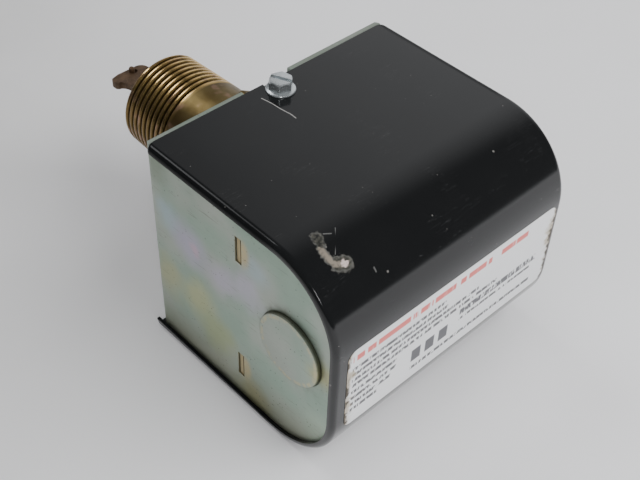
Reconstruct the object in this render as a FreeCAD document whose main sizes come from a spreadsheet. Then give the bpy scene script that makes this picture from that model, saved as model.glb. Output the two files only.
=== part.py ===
import FreeCAD, Part
import Sketcher
import math
import os
from FreeCAD import Placement, Rotation, Vector

# Paddle flow switch with a one-inch taper thread, lying on the bottom panel of its cover.
# Millimetres.  The origin is on the axis of the pipe body, at the outside face of the base plate.
# +Y leads out through the pipe body, +Z is up, and the cover's front face looks along -Y.

doc = FreeCAD.newDocument("PaddleFlowSwitch")
sheet = doc.addObject("Spreadsheet::Sheet", "Dims")
parts = {}


# ---------------------------------------------------------------- driving dimensions

class Size:
    """A length of the sheet, or one worked out from such lengths: its expression and its value."""

    def __init__(self, text, value):
        self.text = text
        self.value = float(value)

    def __add__(self, other):
        other = as_size(other)
        return Size(f"({self.text} + {other.text})", self.value + other.value)

    def __sub__(self, other):
        other = as_size(other)
        return Size(f"({self.text} - {other.text})", self.value - other.value)

    def __mul__(self, factor):
        return Size(f"({self.text} * {factor})", self.value * factor)

    def __truediv__(self, factor):
        return Size(f"({self.text} / {factor})", self.value / factor)

    def __neg__(self):
        return Size(f"(-1 * {self.text})", -self.value)

    def __radd__(self, other):
        return as_size(other) + self

    def __rsub__(self, other):
        return as_size(other) - self


def as_size(value):
    return value if isinstance(value, Size) else Size(f"({value})", value)


row = 0


def size(alias, value):
    """Put one driving dimension in the sheet and return it."""
    global row
    row += 1
    sheet.set(f"A{row}", alias)
    sheet.set(f"B{row}", str(value))
    sheet.setAlias(f"B{row}", alias)
    return Size(f"Dims.{alias}", value)


ZERO = as_size(0)

# Cover: a sheet wrapped round the top, front and bottom, with narrow rims that lap the end plates.
case_left = size("case_left", 43.0)
case_right = size("case_right", 46.0)
case_top = size("case_top", 35.3)
case_bottom = size("case_bottom", 37.5)
case_front = size("case_front", 75.0)
cover_sheet = size("cover_sheet", 0.9)
cover_corner = size("cover_corner", 23.6)
cover_edge = size("cover_edge", 1.6)
rim_height = size("rim_height", 2.1)
bottom_rim_height = size("bottom_rim_height", 3.1)
rim_corner = size("rim_corner", 21.4)
lip_length = size("lip_length", 3.0)

# Base frame: back plate and two D-shaped end plates bent from one sheet.
frame_sheet = size("frame_sheet", 1.8)
frame_corner = size("frame_corner", 22.2)
frame_back_corner = size("frame_back_corner", 2.4)
bend_outside = size("bend_outside", 2.6)
side_gap = size("side_gap", 0.2)
top_gap = size("top_gap", 0.1)
front_gap = size("front_gap", 0.8)
bottom_gap = size("bottom_gap", 1.2)
tab_width = size("tab_width", 14.6)
tab_length = size("tab_length", 13.5)
tab_relief = size("tab_relief", 1.7)
tab_relief_foot = size("tab_relief_foot", 0.6)
tab_relief_depth = size("tab_relief_depth", 4.2)

# Knock-outs for half-inch conduit, still held in both end plates, pushed out by a step.
knockout_radius = size("knockout_radius", 11.1)
knockout_gap = size("knockout_gap", 0.08)
knockout_step = size("knockout_step", 1.2)
knockout_from_front = size("knockout_from_front", 17.2)
knockout_rise = size("knockout_rise", 2.2)

# Cover screw: slotted hexagon washer head.
screw_setback = size("screw_setback", 6.8)
screw_radius = size("screw_radius", 2.05)
screw_length = size("screw_length", 8.0)
washer_radius = size("washer_radius", 4.3)
washer_thick = size("washer_thick", 0.9)
screw_hex_flats = size("screw_hex_flats", 6.35)
screw_hex_height = size("screw_hex_height", 2.9)
screw_slot = size("screw_slot", 1.2)
screw_clearance = size("screw_clearance", 0.25)

# Pipe body: hexagon, plain neck and tapered nose in brass.
hex_flats = size("hex_flats", 44.45)
hex_thick = size("hex_thick", 10.6)
hex_chamfer = size("hex_chamfer", 1.6)
neck_radius = size("neck_radius", 16.7)
neck_length = size("neck_length", 18.5)
thread_length = size("thread_length", 20.6)
thread_taper = size("thread_taper", 0.64)
nose_chamfer = size("nose_chamfer", 1.0)
bore_radius = size("bore_radius", 12.4)
spigot_radius = size("spigot_radius", 14.0)
shoulder_radius = size("shoulder_radius", 8.6)
shoulder_depth = size("shoulder_depth", 3.0)
hole_clearance = size("hole_clearance", 0.1)
body_screw_offset = size("body_screw_offset", 12.7)
body_screw_radius = size("body_screw_radius", 2.0)
body_screw_head = size("body_screw_head", 3.4)
body_screw_head_thick = size("body_screw_head_thick", 2.2)
body_screw_grip = size("body_screw_grip", 7.0)
thread_play = size("thread_play", 0.03)

# Bellows seal round the lever.
bellows_outside = size("bellows_outside", 11.2)
bellows_inside = size("bellows_inside", 7.6)
bellows_wall = size("bellows_wall", 0.45)
bellows_pitch = size("bellows_pitch", 3.6)
bellows_valley = size("bellows_valley", 1.7)
bellows_seat = size("bellows_seat", 0.05)
bellows_flange = size("bellows_flange", 0.6)
bellows_ring = size("bellows_ring", 1.6)
bellows_folds = 5

# Lever yoke, pivot pin and clips.
yoke_sheet = size("yoke_sheet", 1.5)
yoke_half = size("yoke_half", 17.5)
yoke_corner = size("yoke_corner", 4.0)
yoke_hole = size("yoke_hole", 8.8)
ear_inside = size("ear_inside", 9.2)
ear_half = size("ear_half", 6.0)
ear_overhang = size("ear_overhang", 5.0)
ear_round = size("ear_round", 5.0)
pivot_depth = size("pivot_depth", 9.0)
pin_radius = size("pin_radius", 2.0)
pin_play = size("pin_play", 0.05)
pin_overhang = size("pin_overhang", 1.8)
clip_thick = size("clip_thick", 0.6)
clip_radius = size("clip_radius", 4.0)
clip_mouth_half = size("clip_mouth_half", 1.6)

# Lever: one bronze bar from the paddle end, through the bellows, to the switch.
lever_thick = size("lever_thick", 3.2)
arm_half = size("arm_half", 5.8)
arm_reach = size("arm_reach", 69.0)
arm_corner = size("arm_corner", 3.0)
hook_out = size("hook_out", 3.2)
hook_from_end = size("hook_from_end", 6.5)
hook_slope = size("hook_slope", 3.4)
hook_corner = size("hook_corner", 1.6)
hook_heel = size("hook_heel", 0.8)
shank_half = size("shank_half", 3.8)
rod_radius = size("rod_radius", 4.2)
collar_radius = size("collar_radius", 6.3)
collar_thick = size("collar_thick", 2.4)
barrel_radius = size("barrel_radius", 4.4)
barrel_gap = size("barrel_gap", 0.4)
pad_half = size("pad_half", 6.0)
pad_end = size("pad_end", 6.0)
pad_corner = size("pad_corner", 2.0)
paddle_hole = size("paddle_hole", 2.1)
paddle_hole_from_end = size("paddle_hole_from_end", 13.5)
locator_radius = size("locator_radius", 1.2)
locator_height = size("locator_height", 1.5)
locator_offset = size("locator_offset", 0.8)
locator_from_end = size("locator_from_end", 1.8)

# Cross panel staked into the end plates; it carries the snap switch and the range adjuster.
panel_sheet = size("panel_sheet", 1.5)
panel_depth = size("panel_depth", 36.7)
panel_half = size("panel_half", 30.0)
panel_corner = size("panel_corner", 3.0)
panel_side_gap = size("panel_side_gap", 0.1)
stake_rise = size("stake_rise", 22.5)
stake_half = size("stake_half", 4.3)
stake_sink = size("stake_sink", 0.3)
stake_slot = size("stake_slot", 2.4)
stake_gap = size("stake_gap", 0.1)
window_half = size("window_half", 8.2)
window_up = size("window_up", 4.6)
window_down = size("window_down", 7.5)
window_corner = size("window_corner", 2.0)

# Snap switch, its insulator and its terminals.
insulator_sheet = size("insulator_sheet", 0.5)
insulator_margin = size("insulator_margin", 2.5)
insulator_headroom = size("insulator_headroom", 1.3)
insulator_past_corner = size("insulator_past_corner", 7.3)
switch_left = size("switch_left", 17.0)
switch_length = size("switch_length", 49.0)
switch_width = size("switch_width", 17.5)
switch_low = size("switch_low", 7.0)
switch_height = size("switch_height", 20.0)
switch_round = size("switch_round", 0.8)
switch_bolt_spacing = size("switch_bolt_spacing", 25.4)
switch_bolt_rise = size("switch_bolt_rise", 6.0)
switch_bolt_radius = size("switch_bolt_radius", 2.0)
switch_bolt_head = size("switch_bolt_head", 3.6)
switch_bolt_head_thick = size("switch_bolt_head_thick", 2.3)
switch_nut_flats = size("switch_nut_flats", 7.0)
switch_nut_thick = size("switch_nut_thick", 3.0)
barrier_height = size("barrier_height", 3.8)
barrier_thick = size("barrier_thick", 1.6)
plunger_radius = size("plunger_radius", 1.7)
plunger_out = size("plunger_out", 2.9)
plunger_hidden = size("plunger_hidden", 6.0)
plunger_boss = size("plunger_boss", 3.4)
plunger_boss_height = size("plunger_boss_height", 0.3)
plunger_gap = size("plunger_gap", 0.15)
terminal_pitch = size("terminal_pitch", 16.0)
terminal_half = size("terminal_half", 4.4)
terminal_thick = size("terminal_thick", 1.2)
terminal_screw_radius = size("terminal_screw_radius", 3.1)
terminal_screw_height = size("terminal_screw_height", 2.2)
terminal_shank = size("terminal_shank", 1.6)
terminal_shank_depth = size("terminal_shank_depth", 4.0)

# Actuator screw and nut at the inner end of the lever.
actuator_shank = size("actuator_shank", 1.5)
actuator_flats = size("actuator_flats", 5.5)
actuator_nut_thick = size("actuator_nut_thick", 1.8)
actuator_tail = size("actuator_tail", 0.6)

# Range adjuster: bracket, screw with retaining ring, sliding nut and spring.
bracket_sheet = size("bracket_sheet", 1.5)
bracket_half = size("bracket_half", 10.0)
bracket_top = size("bracket_top", 10.0)
bracket_bottom = size("bracket_bottom", 28.5)
bracket_front = size("bracket_front", 7.0)
rivet_radius = size("rivet_radius", 1.6)
rivet_head = size("rivet_head", 2.8)
rivet_head_thick = size("rivet_head_thick", 1.0)
rivet_spacing = size("rivet_spacing", 13.0)
rivet_rise = size("rivet_rise", 13.5)
adjuster_radius = size("adjuster_radius", 2.0)
adjuster_head = size("adjuster_head", 4.2)
adjuster_head_thick = size("adjuster_head_thick", 2.6)
adjuster_top = size("adjuster_top", 7.6)
retainer_radius = size("retainer_radius", 3.8)
retainer_thick = size("retainer_thick", 0.8)
retainer_play = size("retainer_play", 0.1)
nut_half = size("nut_half", 6.0)
nut_thick = size("nut_thick", 3.0)
nut_top = size("nut_top", 17.0)
nut_guide_gap = size("nut_guide_gap", 0.3)
nut_corner = size("nut_corner", 2.0)
spring_radius = size("spring_radius", 4.5)
spring_wire = size("spring_wire", 0.6)
spring_seat_gap = size("spring_seat_gap", 0.1)
spring_turns = 5
spring_closed_turns = 2
spring_steps = 10
spring_sides = 6

# Ground screw on the cross panel.
ground_left = size("ground_left", 28.0)
ground_drop = size("ground_drop", 16.0)
ground_radius = size("ground_radius", 2.0)
ground_flats = size("ground_flats", 7.9)
ground_head = size("ground_head", 3.2)
ground_washer = size("ground_washer", 5.2)
ground_washer_thick = size("ground_washer_thick", 0.8)
ground_tail = size("ground_tail", 4.0)

doc.recompute()

# ---------------------------------------------------------------- shared places

cover_back = -frame_sheet
frame_left = -(case_left - cover_sheet - side_gap)
frame_right = case_right - cover_sheet - side_gap
frame_top = case_top - cover_sheet - top_gap
frame_low = -(case_bottom - cover_sheet - bottom_gap)
frame_front = -(case_front - cover_sheet - front_gap)
yoke_face = -(frame_sheet + yoke_sheet)
neck_end = hex_thick + neck_length
nose_end = neck_end + thread_length
panel_front = -(panel_depth + panel_sheet)
switch_back = panel_front - insulator_sheet
switch_front = switch_back - switch_width
plunger_line = switch_back - switch_width / 2
switch_middle = switch_length / 2 - switch_left
switch_top = switch_low + switch_height
lever_top = lever_thick / 2
plunger_tip = switch_low - plunger_out
knockout_line = -(case_front - knockout_from_front)
collar_front = shoulder_depth + bellows_flange + bellows_pitch * bellows_folds
collar_back = collar_front + collar_thick


# ---------------------------------------------------------------- modelling helpers

def bind(thing, **values):
    for name, value in values.items():
        thing.setExpression(name.replace("__", "."), as_size(value).text)


def place(thing, at, turn=None):
    """Put a thing at three sizes, turned by a fixed rotation."""
    thing.Placement = Placement(Vector(*(as_size(v).value for v in at)), turn or Rotation())
    bind(thing, Placement__Base__x=at[0], Placement__Base__y=at[1], Placement__Base__z=at[2])


def box(name, low, high):
    """A block between two corners."""
    thing = doc.addObject("Part::Box", name)
    spans = [as_size(b) - as_size(a) for a, b in zip(low, high)]
    bind(thing, Length=spans[0], Width=spans[1], Height=spans[2])
    place(thing, low)
    return thing


TURNS = {
    "X": Rotation(Vector(0, 1, 0), 90),
    "Y": Rotation(Vector(1, 0, 0), -90),
    "Z": Rotation(),
}


def cylinder(name, axis, radius, start, end, centre):
    """A round bar along an axis, from start to end; centre gives the two other coordinates."""
    thing = doc.addObject("Part::Cylinder", name)
    bind(thing, Radius=radius, Height=as_size(end) - as_size(start))
    at = list(centre)
    at.insert("XYZ".index(axis), start)
    place(thing, at, TURNS[axis])
    return thing


def cone(name, axis, radius_start, radius_end, start, end, centre):
    thing = doc.addObject("Part::Cone", name)
    bind(thing, Radius1=radius_start, Radius2=radius_end, Height=as_size(end) - as_size(start))
    at = list(centre)
    at.insert("XYZ".index(axis), start)
    place(thing, at, TURNS[axis])
    return thing


def hexagon(name, axis, flats, start, end, centre, roll=0):
    """A hexagonal bar along an axis, rolled about that axis by a fixed angle."""
    thing = doc.addObject("Part::Prism", name)
    thing.Polygon = 6
    bind(thing, Circumradius=flats / math.sqrt(3), Height=as_size(end) - as_size(start))
    at = list(centre)
    at.insert("XYZ".index(axis), start)
    place(thing, at, TURNS[axis] * Rotation(Vector(0, 0, 1), roll))
    return thing


def cut(name, base, *tools):
    """Take the tools from the base."""
    if len(tools) > 1:
        tool = fuse(name + "_tools", *tools)
    else:
        tool = tools[0]
    thing = doc.addObject("Part::Cut", name)
    thing.Base = base
    thing.Tool = tool
    return thing


def fuse(name, *shapes):
    thing = doc.addObject("Part::MultiFuse", name)
    thing.Shapes = list(shapes)
    thing.Refine = True
    return thing


def common(name, first, second):
    thing = doc.addObject("Part::MultiCommon", name)
    thing.Shapes = [first, second]
    return thing


def group(name, *shapes):
    """Separate like solids that share one node."""
    thing = doc.addObject("Part::Compound", name)
    thing.Links = list(shapes)
    return thing


def draw(sketch, points):
    """Draw a closed outline of straight lines whose corners are fixed by sizes."""
    count = len(points)
    values = [Vector(as_size(u).value, as_size(v).value, 0) for u, v in points]
    for i in range(count):
        sketch.addGeometry(Part.LineSegment(values[i], values[(i + 1) % count]), False)
    for i in range(count):
        sketch.addConstraint(Sketcher.Constraint("Coincident", i, 2, (i + 1) % count, 1))
    for i, corner in enumerate(points):
        for kind, axis, distance in (("DistanceX", -2, corner[0]), ("DistanceY", -1, corner[1])):
            distance = as_size(distance)
            if distance.value == 0:
                sketch.addConstraint(Sketcher.Constraint("PointOnObject", i, 1, axis))
                continue
            if distance.value > 0:
                fixed = Sketcher.Constraint(kind, -1, 1, i, 1, distance.value)
            else:
                fixed = Sketcher.Constraint(kind, i, 1, -1, 1, -distance.value)
                distance = -distance
            index = sketch.addConstraint(fixed)
            sketch.setExpression(f"Constraints[{index}]", distance.text)


def sketch_in(body, plane, name, offset=ZERO):
    """A sketch on one of the body's own origin planes, moved along the plane's normal."""
    origin = {feature.Role: feature for feature in body.Origin.OriginFeatures}
    sketch = body.newObject("Sketcher::SketchObject", name)
    sketch.AttachmentSupport = (origin[plane], [""])
    sketch.MapMode = "FlatFace"
    bind(sketch, AttachmentOffset__Base__z=offset)
    return sketch


def slab(name, plane, points, start, length, rounds=()):
    """A sheet or block: an outline padded from start, its upright corners rounded.

    The normal is +Z on the XY plane, -Y on the XZ plane and +X on the YZ plane.
    rounds lists (corner indices, radius) pairs.
    """
    body = doc.addObject("PartDesign::Body", name)
    sketch = sketch_in(body, plane, name + "_outline", start)
    draw(sketch, points)
    pad = body.newObject("PartDesign::Pad", name + "_pad")
    pad.Profile = sketch
    bind(pad, Length=length)
    doc.recompute()
    corners = [sketch.Placement.multVec(sketch.Geometry[i].StartPoint) for i in range(len(points))]
    normal = sketch.Placement.Rotation.multVec(Vector(0, 0, 1))
    last = pad
    for indices, radius in rounds:
        edges = upright_edges(last.Shape, [corners[i] for i in indices], normal)
        last = round_edges(body, last, edges, radius, f"{name}_round{indices[0]}")
    return body


def upright_edges(shape, points, normal):
    """Names of the straight edges along the normal that run through the points."""
    names = []
    for number, edge in enumerate(shape.Edges, 1):
        first, second = edge.Vertexes[0].Point, edge.Vertexes[-1].Point
        along = (second - first).normalize() if edge.Length > 1e-6 else Vector()
        if abs(abs(along.dot(normal)) - 1) > 1e-6:
            continue
        for point in points:
            offset = first - point
            if (offset - normal * offset.dot(normal)).Length < 1e-4:
                names.append(f"Edge{number}")
    return names


def round_edges(body, base, edges, radius, name):
    fillet = body.newObject("PartDesign::Fillet", name)
    fillet.Base = (base, edges)
    bind(fillet, Radius=radius)
    doc.recompute()
    return fillet


def lathe(name, points):
    """A turned piece: a profile of (radius, place along Y) points revolved round the Y axis."""
    body = doc.addObject("PartDesign::Body", name)
    sketch = sketch_in(body, "XY_Plane", name + "_profile")
    draw(sketch, points)
    turned = body.newObject("PartDesign::Revolution", name + "_turned")
    turned.Profile = sketch
    turned.ReferenceAxis = (sketch, ["V_Axis"])
    turned.Angle = 360
    doc.recompute()
    return body


def node(name, thing):
    """Name a finished piece; the name is also its file's."""
    thing.Label = name
    parts[name] = thing
    return thing


# ---------------------------------------------------------------- base frame and knock-outs

def d_outline(front, top, low, back):
    """Side outline of a wrapped shell: open back, round corners at the front (indices 1 and 2)."""
    return [(back, top), (front, top), (front, low), (back, low)]


def channel():
    """Plan of the bent sheet: back plate and both legs, before the ends are trimmed round."""
    inner_left = frame_left + frame_sheet
    inner_right = frame_right - frame_sheet
    plan = [
        (frame_left, ZERO), (frame_left, frame_front), (inner_left, frame_front),
        (inner_left, -frame_sheet), (inner_right, -frame_sheet), (inner_right, frame_front),
        (frame_right, frame_front), (frame_right, ZERO),
    ]
    inside_bend = bend_outside - frame_sheet
    return slab("frame_channel", "XY_Plane", plan, frame_low, frame_top - frame_low,
                [((0, 7), bend_outside), ((3, 4), inside_bend)])


def frame_side():
    """Side view of the frame: D-shaped ends with large front corners."""
    return slab("frame_side", "YZ_Plane", d_outline(frame_front, frame_top, frame_low, ZERO),
                frame_left, frame_right - frame_left,
                [((1, 2), frame_corner), ((0, 3), frame_back_corner)])


def screw_tab():
    """Tab bent forward from the back plate; the cover seats on it and the cover screw holds it."""
    root = frame_top - tab_relief_depth - frame_sheet
    under = frame_top - frame_sheet
    profile = [
        (ZERO, root), (ZERO, frame_top), (-tab_length, frame_top),
        (-tab_length, under), (-frame_sheet, under), (-frame_sheet, root),
    ]
    return slab("screw_tab", "YZ_Plane", profile, -tab_width / 2, tab_width,
                [((1,), bend_outside), ((4,), bend_outside - frame_sheet)])


def tab_notch():
    """Gap in the back plate's top edge beside the bent tab, with slanted ends."""
    top_half = tab_width / 2 + tab_relief
    low_half = tab_width / 2 + tab_relief_foot
    floor = frame_top - tab_relief_depth
    return slab("tab_notch", "XZ_Plane",
                [(-low_half, floor), (low_half, floor),
                 (top_half, frame_top + 1), (-top_half, frame_top + 1)],
                -bend_outside, bend_outside * 2)


def stake_slots():
    slots = []
    for side, x_low, x_high in (("left", frame_left - 1, frame_left + frame_sheet + 1),
                                ("right", frame_right - frame_sheet - 1, frame_right + 1)):
        for level, rise in (("upper", stake_rise), ("lower", -stake_rise)):
            middle = -(panel_depth + panel_sheet / 2)
            slots.append(box(f"{side}_{level}_slot",
                             (x_low, middle - stake_slot / 2, rise - stake_half - stake_gap),
                             (x_high, middle + stake_slot / 2, rise + stake_half + stake_gap)))
    return slots


def square_pattern(maker, offset):
    """Call maker(name, x, z) for the four screws round the pipe body."""
    made = []
    for i, (across, up) in enumerate(((1, 1), (-1, 1), (-1, -1), (1, -1))):
        made.append(maker(i, offset * across, offset * up))
    return made


def base_frame():
    bent = common("frame_trimmed", channel(), frame_side())
    open_top = cut("frame_notched", bent, tab_notch())
    with_tab = fuse("frame_with_tab", open_top, screw_tab())
    through = frame_sheet + 1
    holes = [cylinder("spigot_hole", "Y", spigot_radius + hole_clearance, -through, 1, (0, 0))]
    holes += square_pattern(
        lambda i, x, z: cylinder(f"plate_hole{i}", "Y", body_screw_radius + hole_clearance,
                                 -through, 1, (x, z)), body_screw_offset)
    hole_radius = knockout_radius + knockout_gap
    holes.append(cylinder("left_knockout_hole", "X", hole_radius, frame_left - 1,
                          frame_left + frame_sheet + 1, (knockout_line, knockout_rise)))
    holes.append(cylinder("right_knockout_hole", "X", hole_radius, frame_right - frame_sheet - 1,
                          frame_right + 1, (knockout_line, knockout_rise)))
    holes.append(cylinder("tab_hole", "Z", screw_radius + thread_play,
                          frame_top - frame_sheet * 2, frame_top + 1, (0, -screw_setback)))
    return cut("frame_finished", with_tab, *holes, *stake_slots())


node("base_frame", base_frame())


def knockout(name, outside, direction):
    """One punched disc, standing proud of its end plate by the step."""
    proud = outside + knockout_step * direction
    inner = proud - frame_sheet * direction
    low, high = (proud, inner) if direction < 0 else (inner, proud)
    return cylinder(name, "X", knockout_radius, low, high, (knockout_line, knockout_rise))


node("left_knockout", knockout("left_disc", frame_left, -1))
node("right_knockout", knockout("right_disc", frame_right, 1))


# ---------------------------------------------------------------- cover and its screw

def cover():
    """Wrapped sheet cover, open at the back, with rims round both ends and a slot at the screw."""
    width = case_left + case_right
    outside = slab("cover_outside", "YZ_Plane",
                   d_outline(-case_front, case_top, -case_bottom, cover_back + lip_length),
                   -case_left, width, [((1, 2), cover_corner)])
    ends = [f"Edge{i}" for i, edge in enumerate(outside.Shape.Edges, 1) if on_end_outline(edge)]
    round_edges(outside, outside.Tip, ends, cover_edge, "cover_edge_round")
    inner_corner = cover_corner - cover_sheet
    past_back = cover_back + lip_length + 1
    inside = slab("cover_inside", "YZ_Plane",
                  d_outline(-(case_front - cover_sheet), case_top - cover_sheet,
                            -(case_bottom - cover_sheet), past_back),
                  -(case_left - cover_sheet), width - cover_sheet * 2, [((1, 2), inner_corner)])
    ends_open = slab("cover_end_opening", "YZ_Plane",
                     d_outline(-(case_front - rim_height), case_top - rim_height,
                               -(case_bottom - bottom_rim_height), past_back),
                     -(case_left + 1), width + 2, [((1, 2), rim_corner)])
    rim_low = -(case_bottom - bottom_rim_height)
    short_top = box("cover_top_trim", (-(case_left + 1), cover_back, rim_low),
                    (case_right + 1, past_back, case_top + 1))
    slot_half = screw_radius + screw_clearance
    slot = box("screw_slot_cut", (-slot_half, -screw_setback, case_top - cover_sheet - 1),
               (slot_half, past_back, case_top + 1))
    slot_end = cylinder("screw_slot_end", "Z", slot_half, case_top - cover_sheet - 1, case_top + 1,
                        (0, -screw_setback))
    return cut("cover_shell", outside, inside, ends_open, short_top, slot, slot_end)


def on_end_outline(edge):
    """True for the edges round an end face, except the one at the open back."""
    span = edge.BoundBox
    at_end = abs(span.XMin - span.XMax) < 1e-6
    at_back = abs(span.YMin - span.YMax) < 1e-6 and span.YMin > cover_back.value - 1e-6
    return at_end and not at_back


node("cover", cover())


def cover_screw():
    """Hexagon head forged on a washer, with a slot for a driver."""
    seat = case_top
    head_base = seat + washer_thick
    head_top = head_base + screw_hex_height
    at = (0, -screw_setback)
    washer = cylinder("cover_screw_washer", "Z", washer_radius, seat, head_base, at)
    head = hexagon("cover_screw_hex", "Z", screw_hex_flats, head_base, head_top, at)
    shank = cylinder("cover_screw_shank", "Z", screw_radius, seat - screw_length, seat, at)
    whole = fuse("cover_screw_blank", washer, head, shank)
    slot = box("cover_screw_slot",
               (-screw_hex_flats, -screw_setback - screw_slot / 2, head_top - screw_slot),
               (screw_hex_flats, -screw_setback + screw_slot / 2, head_top + 1))
    return cut("cover_screw_finished", whole, slot)


node("cover_screw", cover_screw())


# ---------------------------------------------------------------- pipe body, its screws and the bellows

def pipe_body():
    """Turned brass body with a hexagon; four blind holes take the screws from inside the case."""
    tip_radius = neck_radius - thread_taper
    turned = lathe("body_turned", [
        (shoulder_radius, -frame_sheet), (spigot_radius, -frame_sheet), (spigot_radius, ZERO),
        (neck_radius, ZERO), (neck_radius, neck_end), (tip_radius, nose_end - nose_chamfer),
        (tip_radius - nose_chamfer, nose_end), (bore_radius, nose_end), (bore_radius, shoulder_depth),
        (shoulder_radius, shoulder_depth),
    ])
    corner = hex_flats / math.sqrt(3)
    hexed = hexagon("body_hex", "Y", hex_flats, 0, hex_thick, (0, 0), roll=30)
    chamfer = cone("body_hex_chamfer", "Y", corner + hex_thick - hex_chamfer, corner - hex_chamfer,
                   0, hex_thick, (0, 0))
    rounded = common("body_hex_rounded", hexed, chamfer)
    hollow = cylinder("body_hex_bore", "Y", spigot_radius, -1, hex_thick + 1, (0, 0))
    ring = cut("body_hex_ring", rounded, hollow)
    whole = fuse("body_blank", turned, ring)
    blind = square_pattern(
        lambda i, x, z: cylinder(f"body_blind{i}", "Y", body_screw_radius + thread_play,
                                 -1, body_screw_grip + 1, (x, z)), body_screw_offset)
    return cut("body_finished", whole, *blind)


node("pipe_body", pipe_body())


def body_screw(i, x, z):
    head = cylinder(f"body_screw_head{i}", "Y", body_screw_head, yoke_face - body_screw_head_thick,
                    yoke_face, (x, z))
    shank = cylinder(f"body_screw_shank{i}", "Y", body_screw_radius, yoke_face, body_screw_grip, (x, z))
    return fuse(f"body_screw{i}", head, shank)


node("body_screws", group("body_screw_set", *square_pattern(body_screw, body_screw_offset)))


def bellows():
    """Thin folded tube, soldered to the body's shoulder and round the collar on the lever."""
    start = shoulder_depth
    foot = start + bellows_flange
    root = bellows_inside + bellows_wall
    outer = [(bellows_outside, start), (bellows_outside, foot)]
    inner = [(bellows_inside, start)]
    for fold in range(bellows_folds):
        valley = foot + bellows_pitch * fold
        crest = valley + bellows_valley
        crest_end = valley + bellows_pitch
        outer += [(root, valley), (root, crest), (bellows_outside, crest), (bellows_outside, crest_end)]
        under_crest = bellows_outside - bellows_wall
        inner += [(bellows_inside, crest + bellows_wall), (under_crest, crest + bellows_wall),
                  (under_crest, crest_end - bellows_wall), (bellows_inside, crest_end - bellows_wall)]
    end = foot + bellows_pitch * bellows_folds
    throat = collar_radius + bellows_seat
    outer += [(throat + bellows_wall, end), (throat + bellows_wall, end + bellows_ring)]
    inner += [(throat, end - bellows_wall), (throat, end + bellows_ring)]
    return lathe("bellows_tube", outer + inner[::-1])


node("bellows", bellows())

# ---------------------------------------------------------------- lever yoke, pivot pin and clips


def yoke():
    """Foot clamped under the body screws, with two ears that carry the pivot pin."""
    foot = slab("yoke_foot", "XZ_Plane",
                [(-yoke_half, -yoke_half), (yoke_half, -yoke_half),
                 (yoke_half, yoke_half), (-yoke_half, yoke_half)],
                frame_sheet, yoke_sheet, [((0, 1, 2, 3), yoke_corner)])
    ears = []
    ear_end = -(pivot_depth + ear_overhang)
    for side, low in (("left", -(ear_inside + yoke_sheet)), ("right", ear_inside)):
        ears.append(slab(f"{side}_ear", "YZ_Plane",
                         [(yoke_face, -ear_half), (yoke_face, ear_half),
                          (ear_end, ear_half), (ear_end, -ear_half)],
                         low, yoke_sheet, [((2, 3), ear_round)]))
    blank = fuse("yoke_blank", foot, *ears)
    holes = [cylinder("yoke_lever_hole", "Y", yoke_hole, yoke_face - 1, 0, (0, 0))]
    holes += square_pattern(
        lambda i, x, z: cylinder(f"yoke_hole{i}", "Y", body_screw_radius + hole_clearance,
                                 yoke_face - 1, 0, (x, z)), body_screw_offset)
    reach = ear_inside + yoke_sheet + 1
    holes.append(cylinder("yoke_pin_hole", "X", pin_radius + thread_play, -reach, reach,
                          (-pivot_depth, 0)))
    return cut("yoke_finished", blank, *holes)


node("lever_yoke", yoke())
pin_reach = ear_inside + yoke_sheet + pin_overhang
node("pivot_pin", cylinder("pin", "X", pin_radius, -pin_reach, pin_reach, (-pivot_depth, 0)))


def clip(side, start):
    """Retaining ring with an open side, snapped on the end of the pin."""
    ring = cylinder(f"{side}_clip_disc", "X", clip_radius, start, start + clip_thick, (-pivot_depth, 0))
    bore = cylinder(f"{side}_clip_bore", "X", pin_radius + thread_play, start - 1,
                    start + clip_thick + 1, (-pivot_depth, 0))
    mouth = box(f"{side}_clip_mouth", (start - 1, -(pivot_depth + clip_radius + 1), -clip_mouth_half),
                (start + clip_thick + 1, -pivot_depth, clip_mouth_half))
    return cut(f"{side}_clip", ring, bore, mouth)


ear_face = ear_inside + yoke_sheet
node("pin_clips", group("clip_pair", clip("left", -(ear_face + clip_thick)), clip("right", ear_face)))

# ---------------------------------------------------------------- lever and what it carries


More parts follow.
